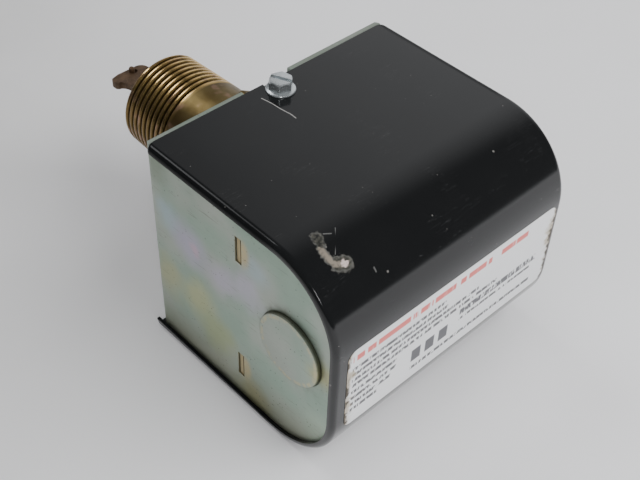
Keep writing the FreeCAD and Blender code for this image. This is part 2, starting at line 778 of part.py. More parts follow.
def lever():
    """Flat bronze bar with a hooked paddle end, a round shank in the bellows and a pivot barrel."""
    hook_back = arm_reach - hook_from_end
    hook_edge = -(arm_half + hook_out)
    taper_end = collar_back + arm_half - shank_half
    pad_back = plunger_line + pad_end
    plan = [
        (-pad_half, plunger_line - pad_end), (pad_half, plunger_line - pad_end),
        (pad_half, pad_back), (shank_half, pad_back + pad_half - shank_half),
        (shank_half, collar_back), (arm_half, taper_end), (arm_half, arm_reach),
        (-arm_half, arm_reach), (hook_edge, arm_reach - hook_slope), (hook_edge, hook_back),
        (-arm_half, hook_back), (-arm_half, taper_end), (-shank_half, collar_back),
        (-shank_half, pad_back + pad_half - shank_half), (-pad_half, pad_back),
    ]
    bar = slab("lever_bar", "XY_Plane", plan, -lever_top, lever_thick,
               [((0, 1), pad_corner), ((6,), arm_corner), ((8, 9), hook_corner), ((10,), hook_heel)])
    rod = cylinder("lever_rod", "Y", rod_radius, -pivot_depth, collar_back, (0, 0))
    half = ear_inside - barrel_gap
    barrel = cylinder("lever_barrel", "X", barrel_radius, -half, half, (-pivot_depth, 0))
    blank = fuse("lever_blank", bar, rod, barrel)
    pin_hole = cylinder("lever_pin_hole", "X", pin_radius + pin_play, -half - 1, half + 1,
                        (-pivot_depth, 0))
    paddle = cylinder("lever_paddle_hole", "Z", paddle_hole, -lever_thick, lever_thick,
                      (0, arm_reach - paddle_hole_from_end))
    locator = cylinder("lever_locator_hole", "Z", locator_radius + thread_play, -lever_thick,
                       lever_thick, (locator_offset, arm_reach - locator_from_end))
    actuator = cylinder("lever_actuator_hole", "Z", actuator_shank + thread_play, -lever_thick,
                        lever_thick, (0, plunger_line))
    return cut("lever_finished", blank, pin_hole, paddle, locator, actuator)


node("paddle_lever", lever())


def bellows_collar():
    """Ring soldered on the lever's rod; the free end of the bellows is soldered round it."""
    ring = cylinder("collar_disc", "Y", collar_radius, collar_front, collar_back, (0, 0))
    bore = cylinder("collar_bore", "Y", rod_radius + thread_play, collar_front - 1, collar_back + 1, (0, 0))
    return cut("collar_finished", ring, bore)


node("bellows_collar", bellows_collar())


def locator_pin():
    """Domed pin at the paddle end; it keeps the paddle square to the lever."""
    at = (locator_offset, arm_reach - locator_from_end)
    stem = cylinder("locator_stem", "Z", locator_radius, -lever_top, lever_top + locator_height, at)
    dome = doc.addObject("Part::Sphere", "locator_dome")
    bind(dome, Radius=locator_radius)
    place(dome, (*at, lever_top + locator_height))
    return fuse("locator_whole", stem, dome)


node("paddle_locator", locator_pin())


def actuator_screw():
    """Set screw under the plunger, with a flat-topped hexagon head."""
    at = (0, plunger_line)
    head = hexagon("actuator_head", "Z", actuator_flats, lever_top, plunger_tip - plunger_gap, at)
    tail = -(lever_top + actuator_nut_thick + actuator_tail)
    shank = cylinder("actuator_shank_bar", "Z", actuator_shank, tail, lever_top, at)
    return fuse("actuator_whole", head, shank)


node("actuator_screw", actuator_screw())


def actuator_nut():
    at = (0, plunger_line)
    low = -(lever_top + actuator_nut_thick)
    nut = hexagon("actuator_nut_blank", "Z", actuator_flats, low, -lever_top, at)
    bore = cylinder("actuator_nut_bore", "Z", actuator_shank + thread_play, low - 1, -lever_top + 1, at)
    return cut("actuator_nut_finished", nut, bore)


node("actuator_nut", actuator_nut())

# ---------------------------------------------------------------- cross panel


def cross_panel():
    """Plate between the end plates, held by four tabs staked in their slots."""
    left = frame_left + frame_sheet + panel_side_gap
    right = frame_right - frame_sheet - panel_side_gap
    plate = slab("panel_plate", "XZ_Plane",
                 [(left, -panel_half), (right, -panel_half), (right, panel_half), (left, panel_half)],
                 panel_depth, panel_sheet, [((0, 1, 2, 3), panel_corner)])
    stakes = []
    for level, rise in (("upper", stake_rise), ("lower", -stake_rise)):
        stakes.append(box(f"{level}_stakes",
                          (frame_left + stake_sink, panel_front, rise - stake_half),
                          (frame_right - stake_sink, -panel_depth, rise + stake_half)))
    blank = fuse("panel_blank", plate, *stakes)
    window = slab("panel_window", "XZ_Plane",
                  [(-window_half, -window_down), (window_half, -window_down),
                   (window_half, window_up), (-window_half, window_up)],
                  panel_depth - 1, panel_sheet + 2, [((0, 1, 2, 3), window_corner)])
    holes = [window]
    for i, x in enumerate(bolt_places()):
        holes.append(cylinder(f"panel_bolt_hole{i}", "Y", switch_bolt_radius + hole_clearance,
                              panel_front - 1, -panel_depth + 1, (x, switch_low + switch_bolt_rise)))
    for i, x in enumerate(rivet_places()):
        holes.append(cylinder(f"panel_rivet_hole{i}", "Y", rivet_radius + thread_play,
                              panel_front - 1, -panel_depth + 1, (x, -rivet_rise)))
    holes.append(cylinder("panel_ground_hole", "Y", ground_radius + thread_play, panel_front - 1,
                          -panel_depth + 1, (-ground_left, -ground_drop)))
    return cut("panel_finished", blank, *holes)


def bolt_places():
    return [switch_middle - switch_bolt_spacing / 2, switch_middle + switch_bolt_spacing / 2]


def rivet_places():
    return [-rivet_spacing / 2, rivet_spacing / 2]


node("cross_panel", cross_panel())

# ---------------------------------------------------------------- snap switch and its fixings


def terminal_places():
    return [switch_middle + terminal_pitch * step for step in (-1, 0, 1)]


def insulator():
    """Fibre sheet behind the switch, folded forward over the terminals, clear of the cover's corner."""
    left = -(switch_left + insulator_margin)
    right = switch_length - switch_left + insulator_margin
    back = panel_front
    roof = switch_top + barrier_height + insulator_headroom
    edge = -(case_front - cover_corner + insulator_past_corner)
    profile = [
        (back, switch_low - insulator_margin), (back, roof), (edge, roof),
        (edge, roof - insulator_sheet), (back - insulator_sheet, roof - insulator_sheet),
        (back - insulator_sheet, switch_low - insulator_margin),
    ]
    folded = slab("insulator_fold", "YZ_Plane", profile, left, right - left)
    holes = [cylinder(f"insulator_hole{i}", "Y", switch_bolt_radius + hole_clearance,
                      back - insulator_sheet - 1, back + 1, (x, switch_low + switch_bolt_rise))
             for i, x in enumerate(bolt_places())]
    return cut("insulator_finished", folded, *holes)


node("switch_insulator", insulator())


def switch_case():
    """Moulded case with barriers between the terminals and a boss round the plunger."""
    left = -switch_left
    right = left + switch_length
    outline = [(left, switch_low), (right, switch_low), (right, switch_top)]
    ribs = []
    for gap in (0, 1):
        middle = switch_middle + terminal_pitch * (gap - 0.5)
        ribs.append((middle - barrier_thick / 2, middle + barrier_thick / 2))
    rib_top = switch_top + barrier_height
    for low, high in reversed(ribs):
        outline += [(high, switch_top), (high, rib_top), (low, rib_top), (low, switch_top)]
    outline.append((left, switch_top))
    body = slab("switch_block", "XZ_Plane", outline, -switch_back, switch_width,
                [((0, 1, 2, len(outline) - 1), switch_round)])
    boss = cylinder("plunger_boss_ring", "Z", plunger_boss, switch_low - plunger_boss_height,
                    switch_low + 1, (0, plunger_line))
    blank = fuse("switch_blank", body, boss)
    holes = [cylinder("plunger_hole", "Z", plunger_radius + pin_play, switch_low - 2,
                      switch_low + plunger_hidden + plunger_gap, (0, plunger_line))]
    for i, x in enumerate(bolt_places()):
        holes.append(cylinder(f"switch_hole{i}", "Y", switch_bolt_radius + hole_clearance,
                              switch_front - 1, switch_back + 1, (x, switch_low + switch_bolt_rise)))
    for i, x in enumerate(terminal_places()):
        holes.append(cylinder(f"terminal_hole{i}", "Z", terminal_shank + thread_play,
                              switch_top - terminal_shank_depth - 1, switch_top + 1, (x, plunger_line)))
    return cut("switch_finished", blank, *holes)


node("snap_switch", switch_case())


def plunger():
    """Round button that the lever lets out of the case when the water flows."""
    at = (0, plunger_line)
    straight = plunger_tip + plunger_radius / 2
    stem = cylinder("plunger_stem", "Z", plunger_radius, straight, switch_low + plunger_hidden, at)
    tip = cone("plunger_end", "Z", plunger_radius / 2, plunger_radius, plunger_tip, straight, at)
    return fuse("plunger_whole", stem, tip)


node("switch_plunger", plunger())


def terminal(i, x):
    """Brass contact plate with its corners cut, and a hole for its screw."""
    half = switch_width / 2 - switch_round
    plate = slab(f"terminal_plate{i}", "XY_Plane",
                 [(x - terminal_half, plunger_line - half), (x + terminal_half, plunger_line - half),
                  (x + terminal_half, plunger_line + half), (x - terminal_half, plunger_line + half)],
                 switch_top, terminal_thick, [((0, 1, 2, 3), switch_round)])
    hole = cylinder(f"terminal_plate_hole{i}", "Z", terminal_shank + thread_play, switch_top - 1,
                    switch_top + terminal_thick + 1, (x, plunger_line))
    return cut(f"terminal{i}", plate, hole)


node("switch_terminals", group("terminal_set", *[terminal(i, x) for i, x in enumerate(terminal_places())]))


def terminal_screw(i, x):
    seat = switch_top + terminal_thick
    at = (x, plunger_line)
    head = cylinder(f"terminal_screw_head{i}", "Z", terminal_screw_radius, seat,
                    seat + terminal_screw_height, at)
    shank = cylinder(f"terminal_screw_shank{i}", "Z", terminal_shank,
                     switch_top - terminal_shank_depth, seat, at)
    blank = fuse(f"terminal_screw_blank{i}", head, shank)
    slot = box(f"terminal_screw_slot{i}",
               (x - terminal_half, plunger_line - screw_slot / 2,
                seat + terminal_screw_height - screw_slot),
               (x + terminal_half, plunger_line + screw_slot / 2, seat + terminal_screw_height + 1))
    return cut(f"terminal_screw{i}", blank, slot)


node("terminal_screws", group("terminal_screw_set",
                              *[terminal_screw(i, x) for i, x in enumerate(terminal_places())]))


def switch_bolt(i, x):
    at = (x, switch_low + switch_bolt_rise)
    tail = -panel_depth + switch_nut_thick + 1
    head = cylinder(f"switch_bolt_head{i}", "Y", switch_bolt_head,
                    switch_front - switch_bolt_head_thick, switch_front, at)
    shank = cylinder(f"switch_bolt_shank{i}", "Y", switch_bolt_radius, switch_front, tail, at)
    blank = fuse(f"switch_bolt_blank{i}", head, shank)
    slot = box(f"switch_bolt_slot{i}",
               (x - switch_bolt_head - 1, switch_front - switch_bolt_head_thick - 1,
                at[1] - screw_slot / 2),
               (x + switch_bolt_head + 1, switch_front - switch_bolt_head_thick + screw_slot,
                at[1] + screw_slot / 2))
    return cut(f"switch_bolt{i}", blank, slot)


def switch_nut(i, x):
    at = (x, switch_low + switch_bolt_rise)
    nut = hexagon(f"switch_nut_blank{i}", "Y", switch_nut_flats, -panel_depth,
                  -panel_depth + switch_nut_thick, at)
    bore = cylinder(f"switch_nut_bore{i}", "Y", switch_bolt_radius + thread_play, -panel_depth - 1,
                    -panel_depth + switch_nut_thick + 1, at)
    return cut(f"switch_nut{i}", nut, bore)


node("switch_screws", group("switch_bolt_set", *[switch_bolt(i, x) for i, x in enumerate(bolt_places())]))
node("switch_nuts", group("switch_nut_set", *[switch_nut(i, x) for i, x in enumerate(bolt_places())]))

# ---------------------------------------------------------------- range adjuster


def range_bracket():
    """Angle riveted to the cross panel; its ledge carries the screw and its face guides the nut."""
    back = panel_front
    face = back - bracket_sheet
    ledge_end = plunger_line - bracket_front
    low = -bracket_bottom
    profile = [
        (back, -bracket_top), (back, low), (ledge_end, low), (ledge_end, low + bracket_sheet),
        (face, low + bracket_sheet), (face, -bracket_top),
    ]
    angle = slab("bracket_angle", "YZ_Plane", profile, -bracket_half, bracket_half * 2,
                 [((1,), bracket_sheet)])
    holes = [cylinder("bracket_screw_hole", "Z", adjuster_radius + pin_play, low - 1,
                      low + bracket_sheet + 1, (0, plunger_line))]
    for i, x in enumerate(rivet_places()):
        holes.append(cylinder(f"bracket_rivet_hole{i}", "Y", rivet_radius + thread_play, face - 1,
                              back + 1, (x, -rivet_rise)))
    return cut("bracket_finished", angle, *holes)


node("range_bracket", range_bracket())


def rivet(i, x):
    """Rivet whose sunk head leaves the bracket's face free for the nut."""
    start = panel_front - bracket_sheet
    at = (x, -rivet_rise)
    shank = cylinder(f"rivet_shank{i}", "Y", rivet_radius, start, -panel_depth, at)
    head = cylinder(f"rivet_head{i}", "Y", rivet_head, -panel_depth, -panel_depth + rivet_head_thick, at)
    return fuse(f"rivet{i}", shank, head)


node("bracket_rivets", group("rivet_pair", *[rivet(i, x) for i, x in enumerate(rivet_places())]))


def range_screw():
    """Slotted adjusting screw that hangs in the ledge; turning it moves the spring nut."""
    at = (0, plunger_line)
    seat = -bracket_bottom - retainer_play
    head_low = seat - adjuster_head_thick
    head = cylinder("adjuster_head_disc", "Z", adjuster_head, head_low, seat, at)
    shank = cylinder("adjuster_shank", "Z", adjuster_radius, seat, -adjuster_top, at)
    blank = fuse("adjuster_blank", head, shank)
    slot = box("adjuster_slot", (-adjuster_head - 1, plunger_line - screw_slot / 2, head_low - 1),
               (adjuster_head + 1, plunger_line + screw_slot / 2, head_low + screw_slot))
    return cut("adjuster_finished", blank, slot)


node("range_screw", range_screw())


def screw_retainer():
    at = (0, plunger_line)
    low = -bracket_bottom + bracket_sheet + retainer_play
    ring = cylinder("retainer_disc", "Z", retainer_radius, low, low + retainer_thick, at)
    bore = cylinder("retainer_bore", "Z", adjuster_radius + thread_play, low - 1,
                    low + retainer_thick + 1, at)
    return cut("retainer_finished", ring, bore)


node("screw_retainer", screw_retainer())


def range_nut():
    """Oblong nut that slides up the bracket's face and carries the foot of the spring."""
    back = panel_front - bracket_sheet - nut_guide_gap
    front = plunger_line - nut_half
    low = -(nut_top + nut_thick)
    blank = slab("nut_blank", "XY_Plane",
                 [(-nut_half, front), (nut_half, front), (nut_half, back), (-nut_half, back)],
                 low, nut_thick, [((0, 1), nut_corner)])
    bore = cylinder("nut_bore", "Z", adjuster_radius + thread_play, low - 1, -nut_top + 1,
                    (0, plunger_line))
    return cut("nut_finished", blank, bore)


node("range_nut", range_nut())


def range_spring():
    """Compression spring between the nut and the lever, with one closed turn at each end.

    The wire is lofted through its sections, so many to a turn.
    """
    low = (spring_seat_gap + spring_wire - nut_top).value
    rise = (nut_top - lever_top - spring_seat_gap * 2 - spring_wire * 2).value
    wire = spring_wire.value
    closed = spring_closed_turns / 2
    closed_rise = 2 * wire * 1.05
    open_rise = (rise - closed_rise * spring_closed_turns) / spring_turns
    sections = []
    for step in range((spring_turns + spring_closed_turns) * spring_steps + 1):
        turn = step / spring_steps
        opened = min(max(turn - closed, 0), spring_turns)
        centre_z = closed_rise * (turn - opened) + open_rise * opened
        around = 2 * math.pi * turn
        corners = []
        for side in range(spring_sides + 1):
            roll = 2 * math.pi * (side % spring_sides + 0.5) / spring_sides
            reach = spring_radius.value + wire * math.cos(roll)
            corners.append(Vector(reach * math.cos(around), reach * math.sin(around),
                                  centre_z + wire * math.sin(roll)))
        sections.append(Part.makePolygon(corners))
    spring = doc.addObject("Part::Feature", "spring_coil")
    spring.Shape = Part.makeLoft(sections, True, True)
    spring.Placement = Placement(Vector(0, plunger_line.value, low), Rotation())
    return spring


node("range_spring", range_spring())


def ground_screw():
    """Green hexagon screw for the earth wire, on the cross panel."""
    at = (-ground_left, -ground_drop)
    seat = panel_front
    washer = cylinder("ground_washer_disc", "Y", ground_washer, seat - ground_washer_thick, seat, at)
    head = hexagon("ground_hex", "Y", ground_flats, seat - ground_washer_thick - ground_head,
                   seat - ground_washer_thick, at)
    shank = cylinder("ground_shank", "Y", ground_radius, seat, -panel_depth + ground_tail, at)
    blank = fuse("ground_blank", washer, head, shank)
    face = seat - ground_washer_thick - ground_head
    slot = box("ground_slot", (-ground_left - ground_flats, face - 1, -ground_drop - screw_slot / 2),
               (-ground_left + ground_flats, face + screw_slot, -ground_drop + screw_slot / 2))
    return cut("ground_finished", blank, slot)


node("ground_screw", ground_screw())

# ---------------------------------------------------------------- check and export

doc.recompute()
for thing in doc.Objects:
    if "Invalid" in thing.State or "Error" in thing.State:
        raise RuntimeError(f"{thing.Name} failed: {thing.State}")
for name, thing in parts.items():
    shape = thing.Shape
    if shape.isNull() or not shape.isValid() or not shape.Solids:
        raise RuntimeError(f"{name} has no valid solid")

os.makedirs("parts", exist_ok=True)
for name, thing in parts.items():
    thing.Shape.exportStep(f"parts/{name}.step")
    bounds = thing.Shape.BoundBox
    print(f"{name:18s} solids {len(thing.Shape.Solids)} volume {thing.Shape.Volume:9.1f}"
          f"  x {bounds.XMin:6.1f}..{bounds.XMax:6.1f}  y {bounds.YMin:6.1f}..{bounds.YMax:6.1f}"
          f"  z {bounds.ZMin:6.1f}..{bounds.ZMax:6.1f}")
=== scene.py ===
import math
from functools import reduce
import bmesh
import bpy
from mathutils import Matrix, Quaternion, Vector


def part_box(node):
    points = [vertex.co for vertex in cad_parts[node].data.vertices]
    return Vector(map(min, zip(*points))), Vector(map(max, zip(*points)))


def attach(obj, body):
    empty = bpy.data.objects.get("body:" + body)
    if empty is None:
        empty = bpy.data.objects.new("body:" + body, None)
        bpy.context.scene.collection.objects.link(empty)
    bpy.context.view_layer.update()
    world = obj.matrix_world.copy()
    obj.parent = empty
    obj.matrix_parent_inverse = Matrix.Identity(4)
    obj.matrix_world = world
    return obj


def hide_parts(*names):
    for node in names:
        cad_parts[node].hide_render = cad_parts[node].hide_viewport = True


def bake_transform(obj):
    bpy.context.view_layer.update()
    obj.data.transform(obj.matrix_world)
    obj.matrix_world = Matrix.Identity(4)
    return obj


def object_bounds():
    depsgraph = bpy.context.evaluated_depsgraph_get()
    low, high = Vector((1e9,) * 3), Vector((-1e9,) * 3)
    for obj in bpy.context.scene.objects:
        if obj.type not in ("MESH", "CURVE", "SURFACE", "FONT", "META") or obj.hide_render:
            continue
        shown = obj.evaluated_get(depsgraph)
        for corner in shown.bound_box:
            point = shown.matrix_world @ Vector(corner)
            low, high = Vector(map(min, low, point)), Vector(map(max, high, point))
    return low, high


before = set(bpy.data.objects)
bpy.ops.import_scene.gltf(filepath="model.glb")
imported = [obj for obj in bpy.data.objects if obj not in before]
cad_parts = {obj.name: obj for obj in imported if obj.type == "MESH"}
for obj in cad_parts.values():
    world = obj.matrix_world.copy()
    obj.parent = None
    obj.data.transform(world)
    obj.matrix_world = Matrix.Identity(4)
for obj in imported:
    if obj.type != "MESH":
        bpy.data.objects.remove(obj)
cad_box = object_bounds()

# ---------------------------------------------------------------- bench and lamps
# The switch lies on the bottom panel of its cover, on pale paper in a pale room.  A broad lamp
# stands in front and to the right, a weaker one to the left, and a narrow window gives the
# bright streak on metal and enamel.

MM = 0.001


class Value:
    """A number, colour or direction that varies over a finish; sums on it add Math nodes."""

    def __init__(self, finish, socket):
        self.finish = finish
        self.socket = socket

    def maths(self, operation, *numbers):
        """Any other sum, by its node's name for it."""
        return self.finish.node("ShaderNodeMath", {"operation": operation}, numbers)

    def __add__(self, other):
        return self.maths("ADD", self, other)

    def __radd__(self, other):
        return self.maths("ADD", other, self)

    def __sub__(self, other):
        return self.maths("SUBTRACT", self, other)

    def __rsub__(self, other):
        return self.maths("SUBTRACT", other, self)

    def __mul__(self, other):
        return self.maths("MULTIPLY", self, other)

    def __rmul__(self, other):
        return self.maths("MULTIPLY", other, self)

    def __truediv__(self, other):
        return self.maths("DIVIDE", self, other)

    def __abs__(self):
        return self.maths("ABSOLUTE", self)

    def smaller(self, other):
        return self.maths("MINIMUM", self, other)

    def larger(self, other):
        return self.maths("MAXIMUM", self, other)

    def rise(self, low, high):
        """0 at low, 1 at high, with soft ends; it falls where low is the larger."""
        return self.finish.node("ShaderNodeMapRange", {"interpolation_type": "SMOOTHSTEP"},
                                {"Value": self, "From Min": low, "From Max": high})


class Finish:
    """One node material, laid out on the object's own coordinates."""

    def __init__(self, name, tree=None):
        if tree is None:
            self.material = bpy.data.materials.new(name)
            self.material.use_nodes = True
            tree = self.material.node_tree
        self.tree = tree
        self.tree.nodes.clear()

    def node(self, kind, settings=None, inputs=(), output=0):
        """Add a node: settings first, then values or links for its sockets; gives one output."""
        made = self.tree.nodes.new(kind)
        for name, setting in (settings or {}).items():
            setattr(made, name, setting)
        pairs = inputs.items() if isinstance(inputs, dict) else enumerate(inputs)
        for key, given in pairs:
            if isinstance(given, Value):
                self.tree.links.new(given.socket, made.inputs[key])
            elif isinstance(given, tuple) and len(given) == 3 and made.inputs[key].type == "RGBA":
                made.inputs[key].default_value = (*given, 1.0)
            else:
                made.inputs[key].default_value = given
        return Value(self, made.outputs[output]) if made.outputs else None

    def place(self):
        """Where a point lies on the object, in metres."""
        return self.node("ShaderNodeTexCoord", output="Object")

    def scaled(self, where, factor):
        """A vector made longer or shorter."""
        return self.node("ShaderNodeVectorMath", {"operation": "SCALE"},
                         {0: where, "Scale": factor})

    def measured(self):
        """Where a point lies on the object, in millimetres."""
        return self.scaled(self.place(), 1 / MM)

    def axes(self):
        """The three coordinates in millimetres."""
        where = self.measured()
        return [self.node("ShaderNodeSeparateXYZ", inputs=[where], output=i) for i in range(3)]

    def noise(self, size, detail=2.0, stretch=(1, 1, 1), shift=(0, 0, 0), turn=(0, 0, 0),
              colour=False):
        """Cloudy pattern with patches of about this many millimetres, from 0 to 1."""
        turned = self.node("ShaderNodeMapping", inputs={
            "Vector": self.place(), "Rotation": tuple(math.radians(t) for t in turn)})
        where = self.node("ShaderNodeMapping", inputs={
            "Vector": turned, "Location": shift,
            "Scale": tuple(1 / (s * size * MM) for s in stretch)})
        return self.node("ShaderNodeTexNoise",
                         inputs={"Vector": where, "Scale": 1.0, "Detail": detail},
                         output="Color" if colour else "Fac")

    def cells(self, size, shift=(0, 0, 0)):
        """Distance from scattered points about this many millimetres apart."""
        where = self.node("ShaderNodeMapping", inputs={
            "Vector": self.place(), "Location": shift, "Scale": (1 / (size * MM),) * 3})
        return self.node("ShaderNodeTexVoronoi", {"feature": "F1"},
                         {"Vector": where, "Scale": 1.0}, output="Distance")

    def vector(self, operation, *inputs, output=0):
        """A sum on vectors; those that give a number have it on output 1."""
        return self.node("ShaderNodeVectorMath", {"operation": operation}, inputs, output)

    def gap(self, where, first, last):
        """Distance in millimetres of a place in millimetres from a straight line."""
        run = tuple(b - a for a, b in zip(first, last))
        from_first = self.vector("SUBTRACT", where, first)
        along = self.vector("DOT_PRODUCT", from_first, run, output=1) / sum(c * c for c in run)
        foot = self.scaled(run, along.larger(0.0).smaller(1.0))
        return self.vector("DISTANCE", from_first, foot, output=1)

    def mix(self, share, first, second):
        """The first colour with this share of the second."""
        return self.node("ShaderNodeMix", {"data_type": "RGBA"}, {0: share, 6: first, 7: second},
                         output=2)

    def bump(self, height, depth, onto=None):
        """Relief of this many millimetres."""
        inputs = {"Strength": 1.0, "Distance": depth * MM, "Height": height}
        if onto is not None:
            inputs["Normal"] = onto
        return self.node("ShaderNodeBump", inputs=inputs)

    def surface(self, **sockets):
        """Close the finish with a Principled surface; sockets by name, with _ for spaces."""
        named = {name.replace("_", " "): given for name, given in sockets.items()}
        shader = self.node("ShaderNodeBsdfPrincipled", inputs=named)
        self.node("ShaderNodeOutputMaterial", inputs={"Surface": shader})
        return self.material


def piece_from(mesh, name, material, smooth=35):
    """Make an object of a bmesh, smooth except across edges sharper than this many degrees."""
    data = bpy.data.meshes.new(name)
    mesh.to_mesh(data)
    mesh.free()
    data.shade_smooth()
    data.set_sharp_from_angle(angle=math.radians(smooth))
    made = bpy.data.objects.new(name, data)
    bpy.context.scene.collection.objects.link(made)
    data.materials.append(material)
    return made


paper = Finish("bench_paper")
x, y, _ = paper.axes()
# Painted shade: the paper darkens towards the left and back, like the lamps' fall-off and shadow.
across = (x - y * 0.9).rise(-260.0, 60.0)
painted_shade_paper = paper.mix(across, (0.62, 0.615, 0.61), (0.98, 0.98, 1.0))
paper_tone = paper.mix(paper.noise(60, 3).rise(0.3, 0.7) * 0.3, painted_shade_paper, (0.90, 0.895, 0.90))
paper_material = paper.surface(Base_Color=paper_tone, Roughness=0.85)

PAPER_HALF = 3.0   # metres

floor_mesh = bmesh.new()
bmesh.ops.create_grid(floor_mesh, x_segments=1, y_segments=1, size=PAPER_HALF,
                      matrix=Matrix.Translation((0, 0, cad_box[0].z)))
floor = piece_from(floor_mesh, "bench_floor", paper_material)

world = bpy.data.worlds.new("studio")
bpy.context.scene.world = world
world.use_nodes = True
room = Finish("studio", world.node_tree)
toward = room.node("ShaderNodeTexCoord", output="Generated")


def facing(direction, low, high):
    """How nearly the room is seen in this direction, from 0 to 1."""
    aim = tuple(Vector(direction).normalized())
    return room.vector("DOT_PRODUCT", toward, aim, output=1).rise(low, high)


glow = (0.13 + facing((0.85, 0.35, 0.45), 0.78, 1.0) * 0.85
        + facing((-0.04, 0.66, 0.75), 0.970, 1.0) * 7.0)
dim = room.node("ShaderNodeBackground", inputs={"Color": (0.97, 0.98, 1.0), "Strength": glow})
pale = room.node("ShaderNodeBackground", inputs={"Color": (0.66, 0.66, 0.68), "Strength": 1.0})
seen = room.node("ShaderNodeLightPath", output="Is Camera Ray")
both = room.node("ShaderNodeMixShader", inputs=[seen, dim, pale])
room.node("ShaderNodeOutputWorld", inputs={"Surface": both})

middle = (cad_box[0] + cad_box[1]) / 2


def lamp(name, direction, distance, across, up, watts, glossy=True):
    """Soft rectangular lamp that looks at the middle of the switch."""
    light = bpy.data.lights.new(name, "AREA")
    light.shape = "RECTANGLE"
    light.size, light.size_y = across, up
    light.energy = watts
    made = bpy.data.objects.new(name, light)
    bpy.context.scene.collection.objects.link(made)
    away = Vector(direction).normalized()
    made.location = middle + away * distance
    made.rotation_mode = "QUATERNION"
    made.rotation_quaternion = away.to_track_quat("Z", "Y")
    made.visible_glossy = glossy


lamp("front_lamp", (0.36, -0.74, 0.78), 1.4, 1.2, 1.2, 20.5, glossy=False)
lamp("side_lamp", (-0.62, -0.20, 0.80), 1.4, 1.4, 1.4, 6.0, glossy=False)
lamp("window", (-0.46, -0.68, 0.56), 1.2, 0.07, 0.34, 1.5)

# ---------------------------------------------------------------- camera
# It stands in front, to the left and above, and looks down over the cover's corner to the
# thread behind, a little tilted.

ROLL = 2.49   # degrees

camera = bpy.data.objects.new("camera", bpy.data.cameras.new("camera"))
bpy.context.scene.collection.objects.link(camera)
bpy.context.scene.camera = camera
camera.data.lens = 61.5
camera.location = Vector((-165.86, -189.84, 217.57)) * MM
sight = Vector((0.50807, 0.50559, -0.69731))
camera.rotation_mode = "QUATERNION"
camera.rotation_quaternion = (sight.to_track_quat("-Z", "Y")
                              @ Quaternion((0, 0, 1), math.radians(ROLL)))

# ---------------------------------------------------------------- base frame and cross panel
# Sheet steel, blanked and bent, zinc plated and dipped in chromate: the thin film gives it
# patches of green, blue, lilac and straw.  The knock-outs are punched nearly through.

HARD = math.radians(30)   # a fold sharper than this is an edge of the piece
FLAT = math.radians(0.5)   # and triangles that fold less than this are one face


def eased(node, width, segments=2):
    """A copy of a CAD node's mesh with its hard edges rounded; it stands for that node."""
    mesh = bmesh.new()
    mesh.from_mesh(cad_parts[node].data)
    bmesh.ops.remove_doubles(mesh, verts=mesh.verts, dist=2e-6)
    bmesh.ops.dissolve_limit(mesh, angle_limit=FLAT, verts=mesh.verts, edges=mesh.edges,
                             use_dissolve_boundaries=False, delimit={"NORMAL"})
    hard = [e for e in mesh.edges if len(e.link_faces) == 2 and e.calc_face_angle(0) > HARD]
    if width:
        bmesh.ops.bevel(mesh, geom=hard, offset=width * MM, offset_type="OFFSET", affect="EDGES",
                        segments=segments, profile=0.5, material=-1, clamp_overlap=True)
    bmesh.ops.triangulate(mesh, faces=[f for f in mesh.faces if len(f.verts) > 4])
    return mesh


def dress(node, body, material, width):
    """Put a copy of a CAD node, its edges eased by this many millimetres, on its body."""
    made = piece_from(eased(node, width), node + "_finished", material)
    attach(made, body)
    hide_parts(node)


TINTS = [   # y, z and radius in mm of each patch of the chromate film, and its colour
    (-8.8, 14.5, 6, (0.45, 0.56, 0.58)), (-17.0, 9.5, 8, (0.52, 0.50, 0.60)),
    (-19.5, 8.6, 2.5, (0.62, 0.49, 0.58)), (-30.0, 6.7, 7, (0.55, 0.53, 0.60)),
    (-39.8, 9.5, 7, (0.54, 0.53, 0.59)), (-43.2, 19.9, 6, (0.47, 0.56, 0.57)),
    (-5.3, -11.0, 8, (0.50, 0.52, 0.33)), (-20.0, -10.0, 8, (0.53, 0.56, 0.34)),
    (-27.0, -18.0, 8, (0.44, 0.50, 0.30)), (-42.0, -33.0, 8, (0.40, 0.39, 0.20)),
    (-70.6, 2.6, 6, (0.52, 0.52, 0.30)), (-68.0, -20.0, 6, (0.44, 0.54, 0.44)),
    (-4.0, 30.0, 6, (0.36, 0.42, 0.34))]
DULLED = 0.90   # every tint, as a share of what is written
KNOCKOUT_Y, KNOCKOUT_Z, KNOCKOUT_R = -57.8, 2.2, 11.1
STAKE_Y, STAKE_Z = -37.3, 22.5   # middle of each slot in an end plate that holds the panel
MARK_Y, MARK_SHAPE = 39.2, 0.55   # rubbed mark beside each stake, and its width to its height


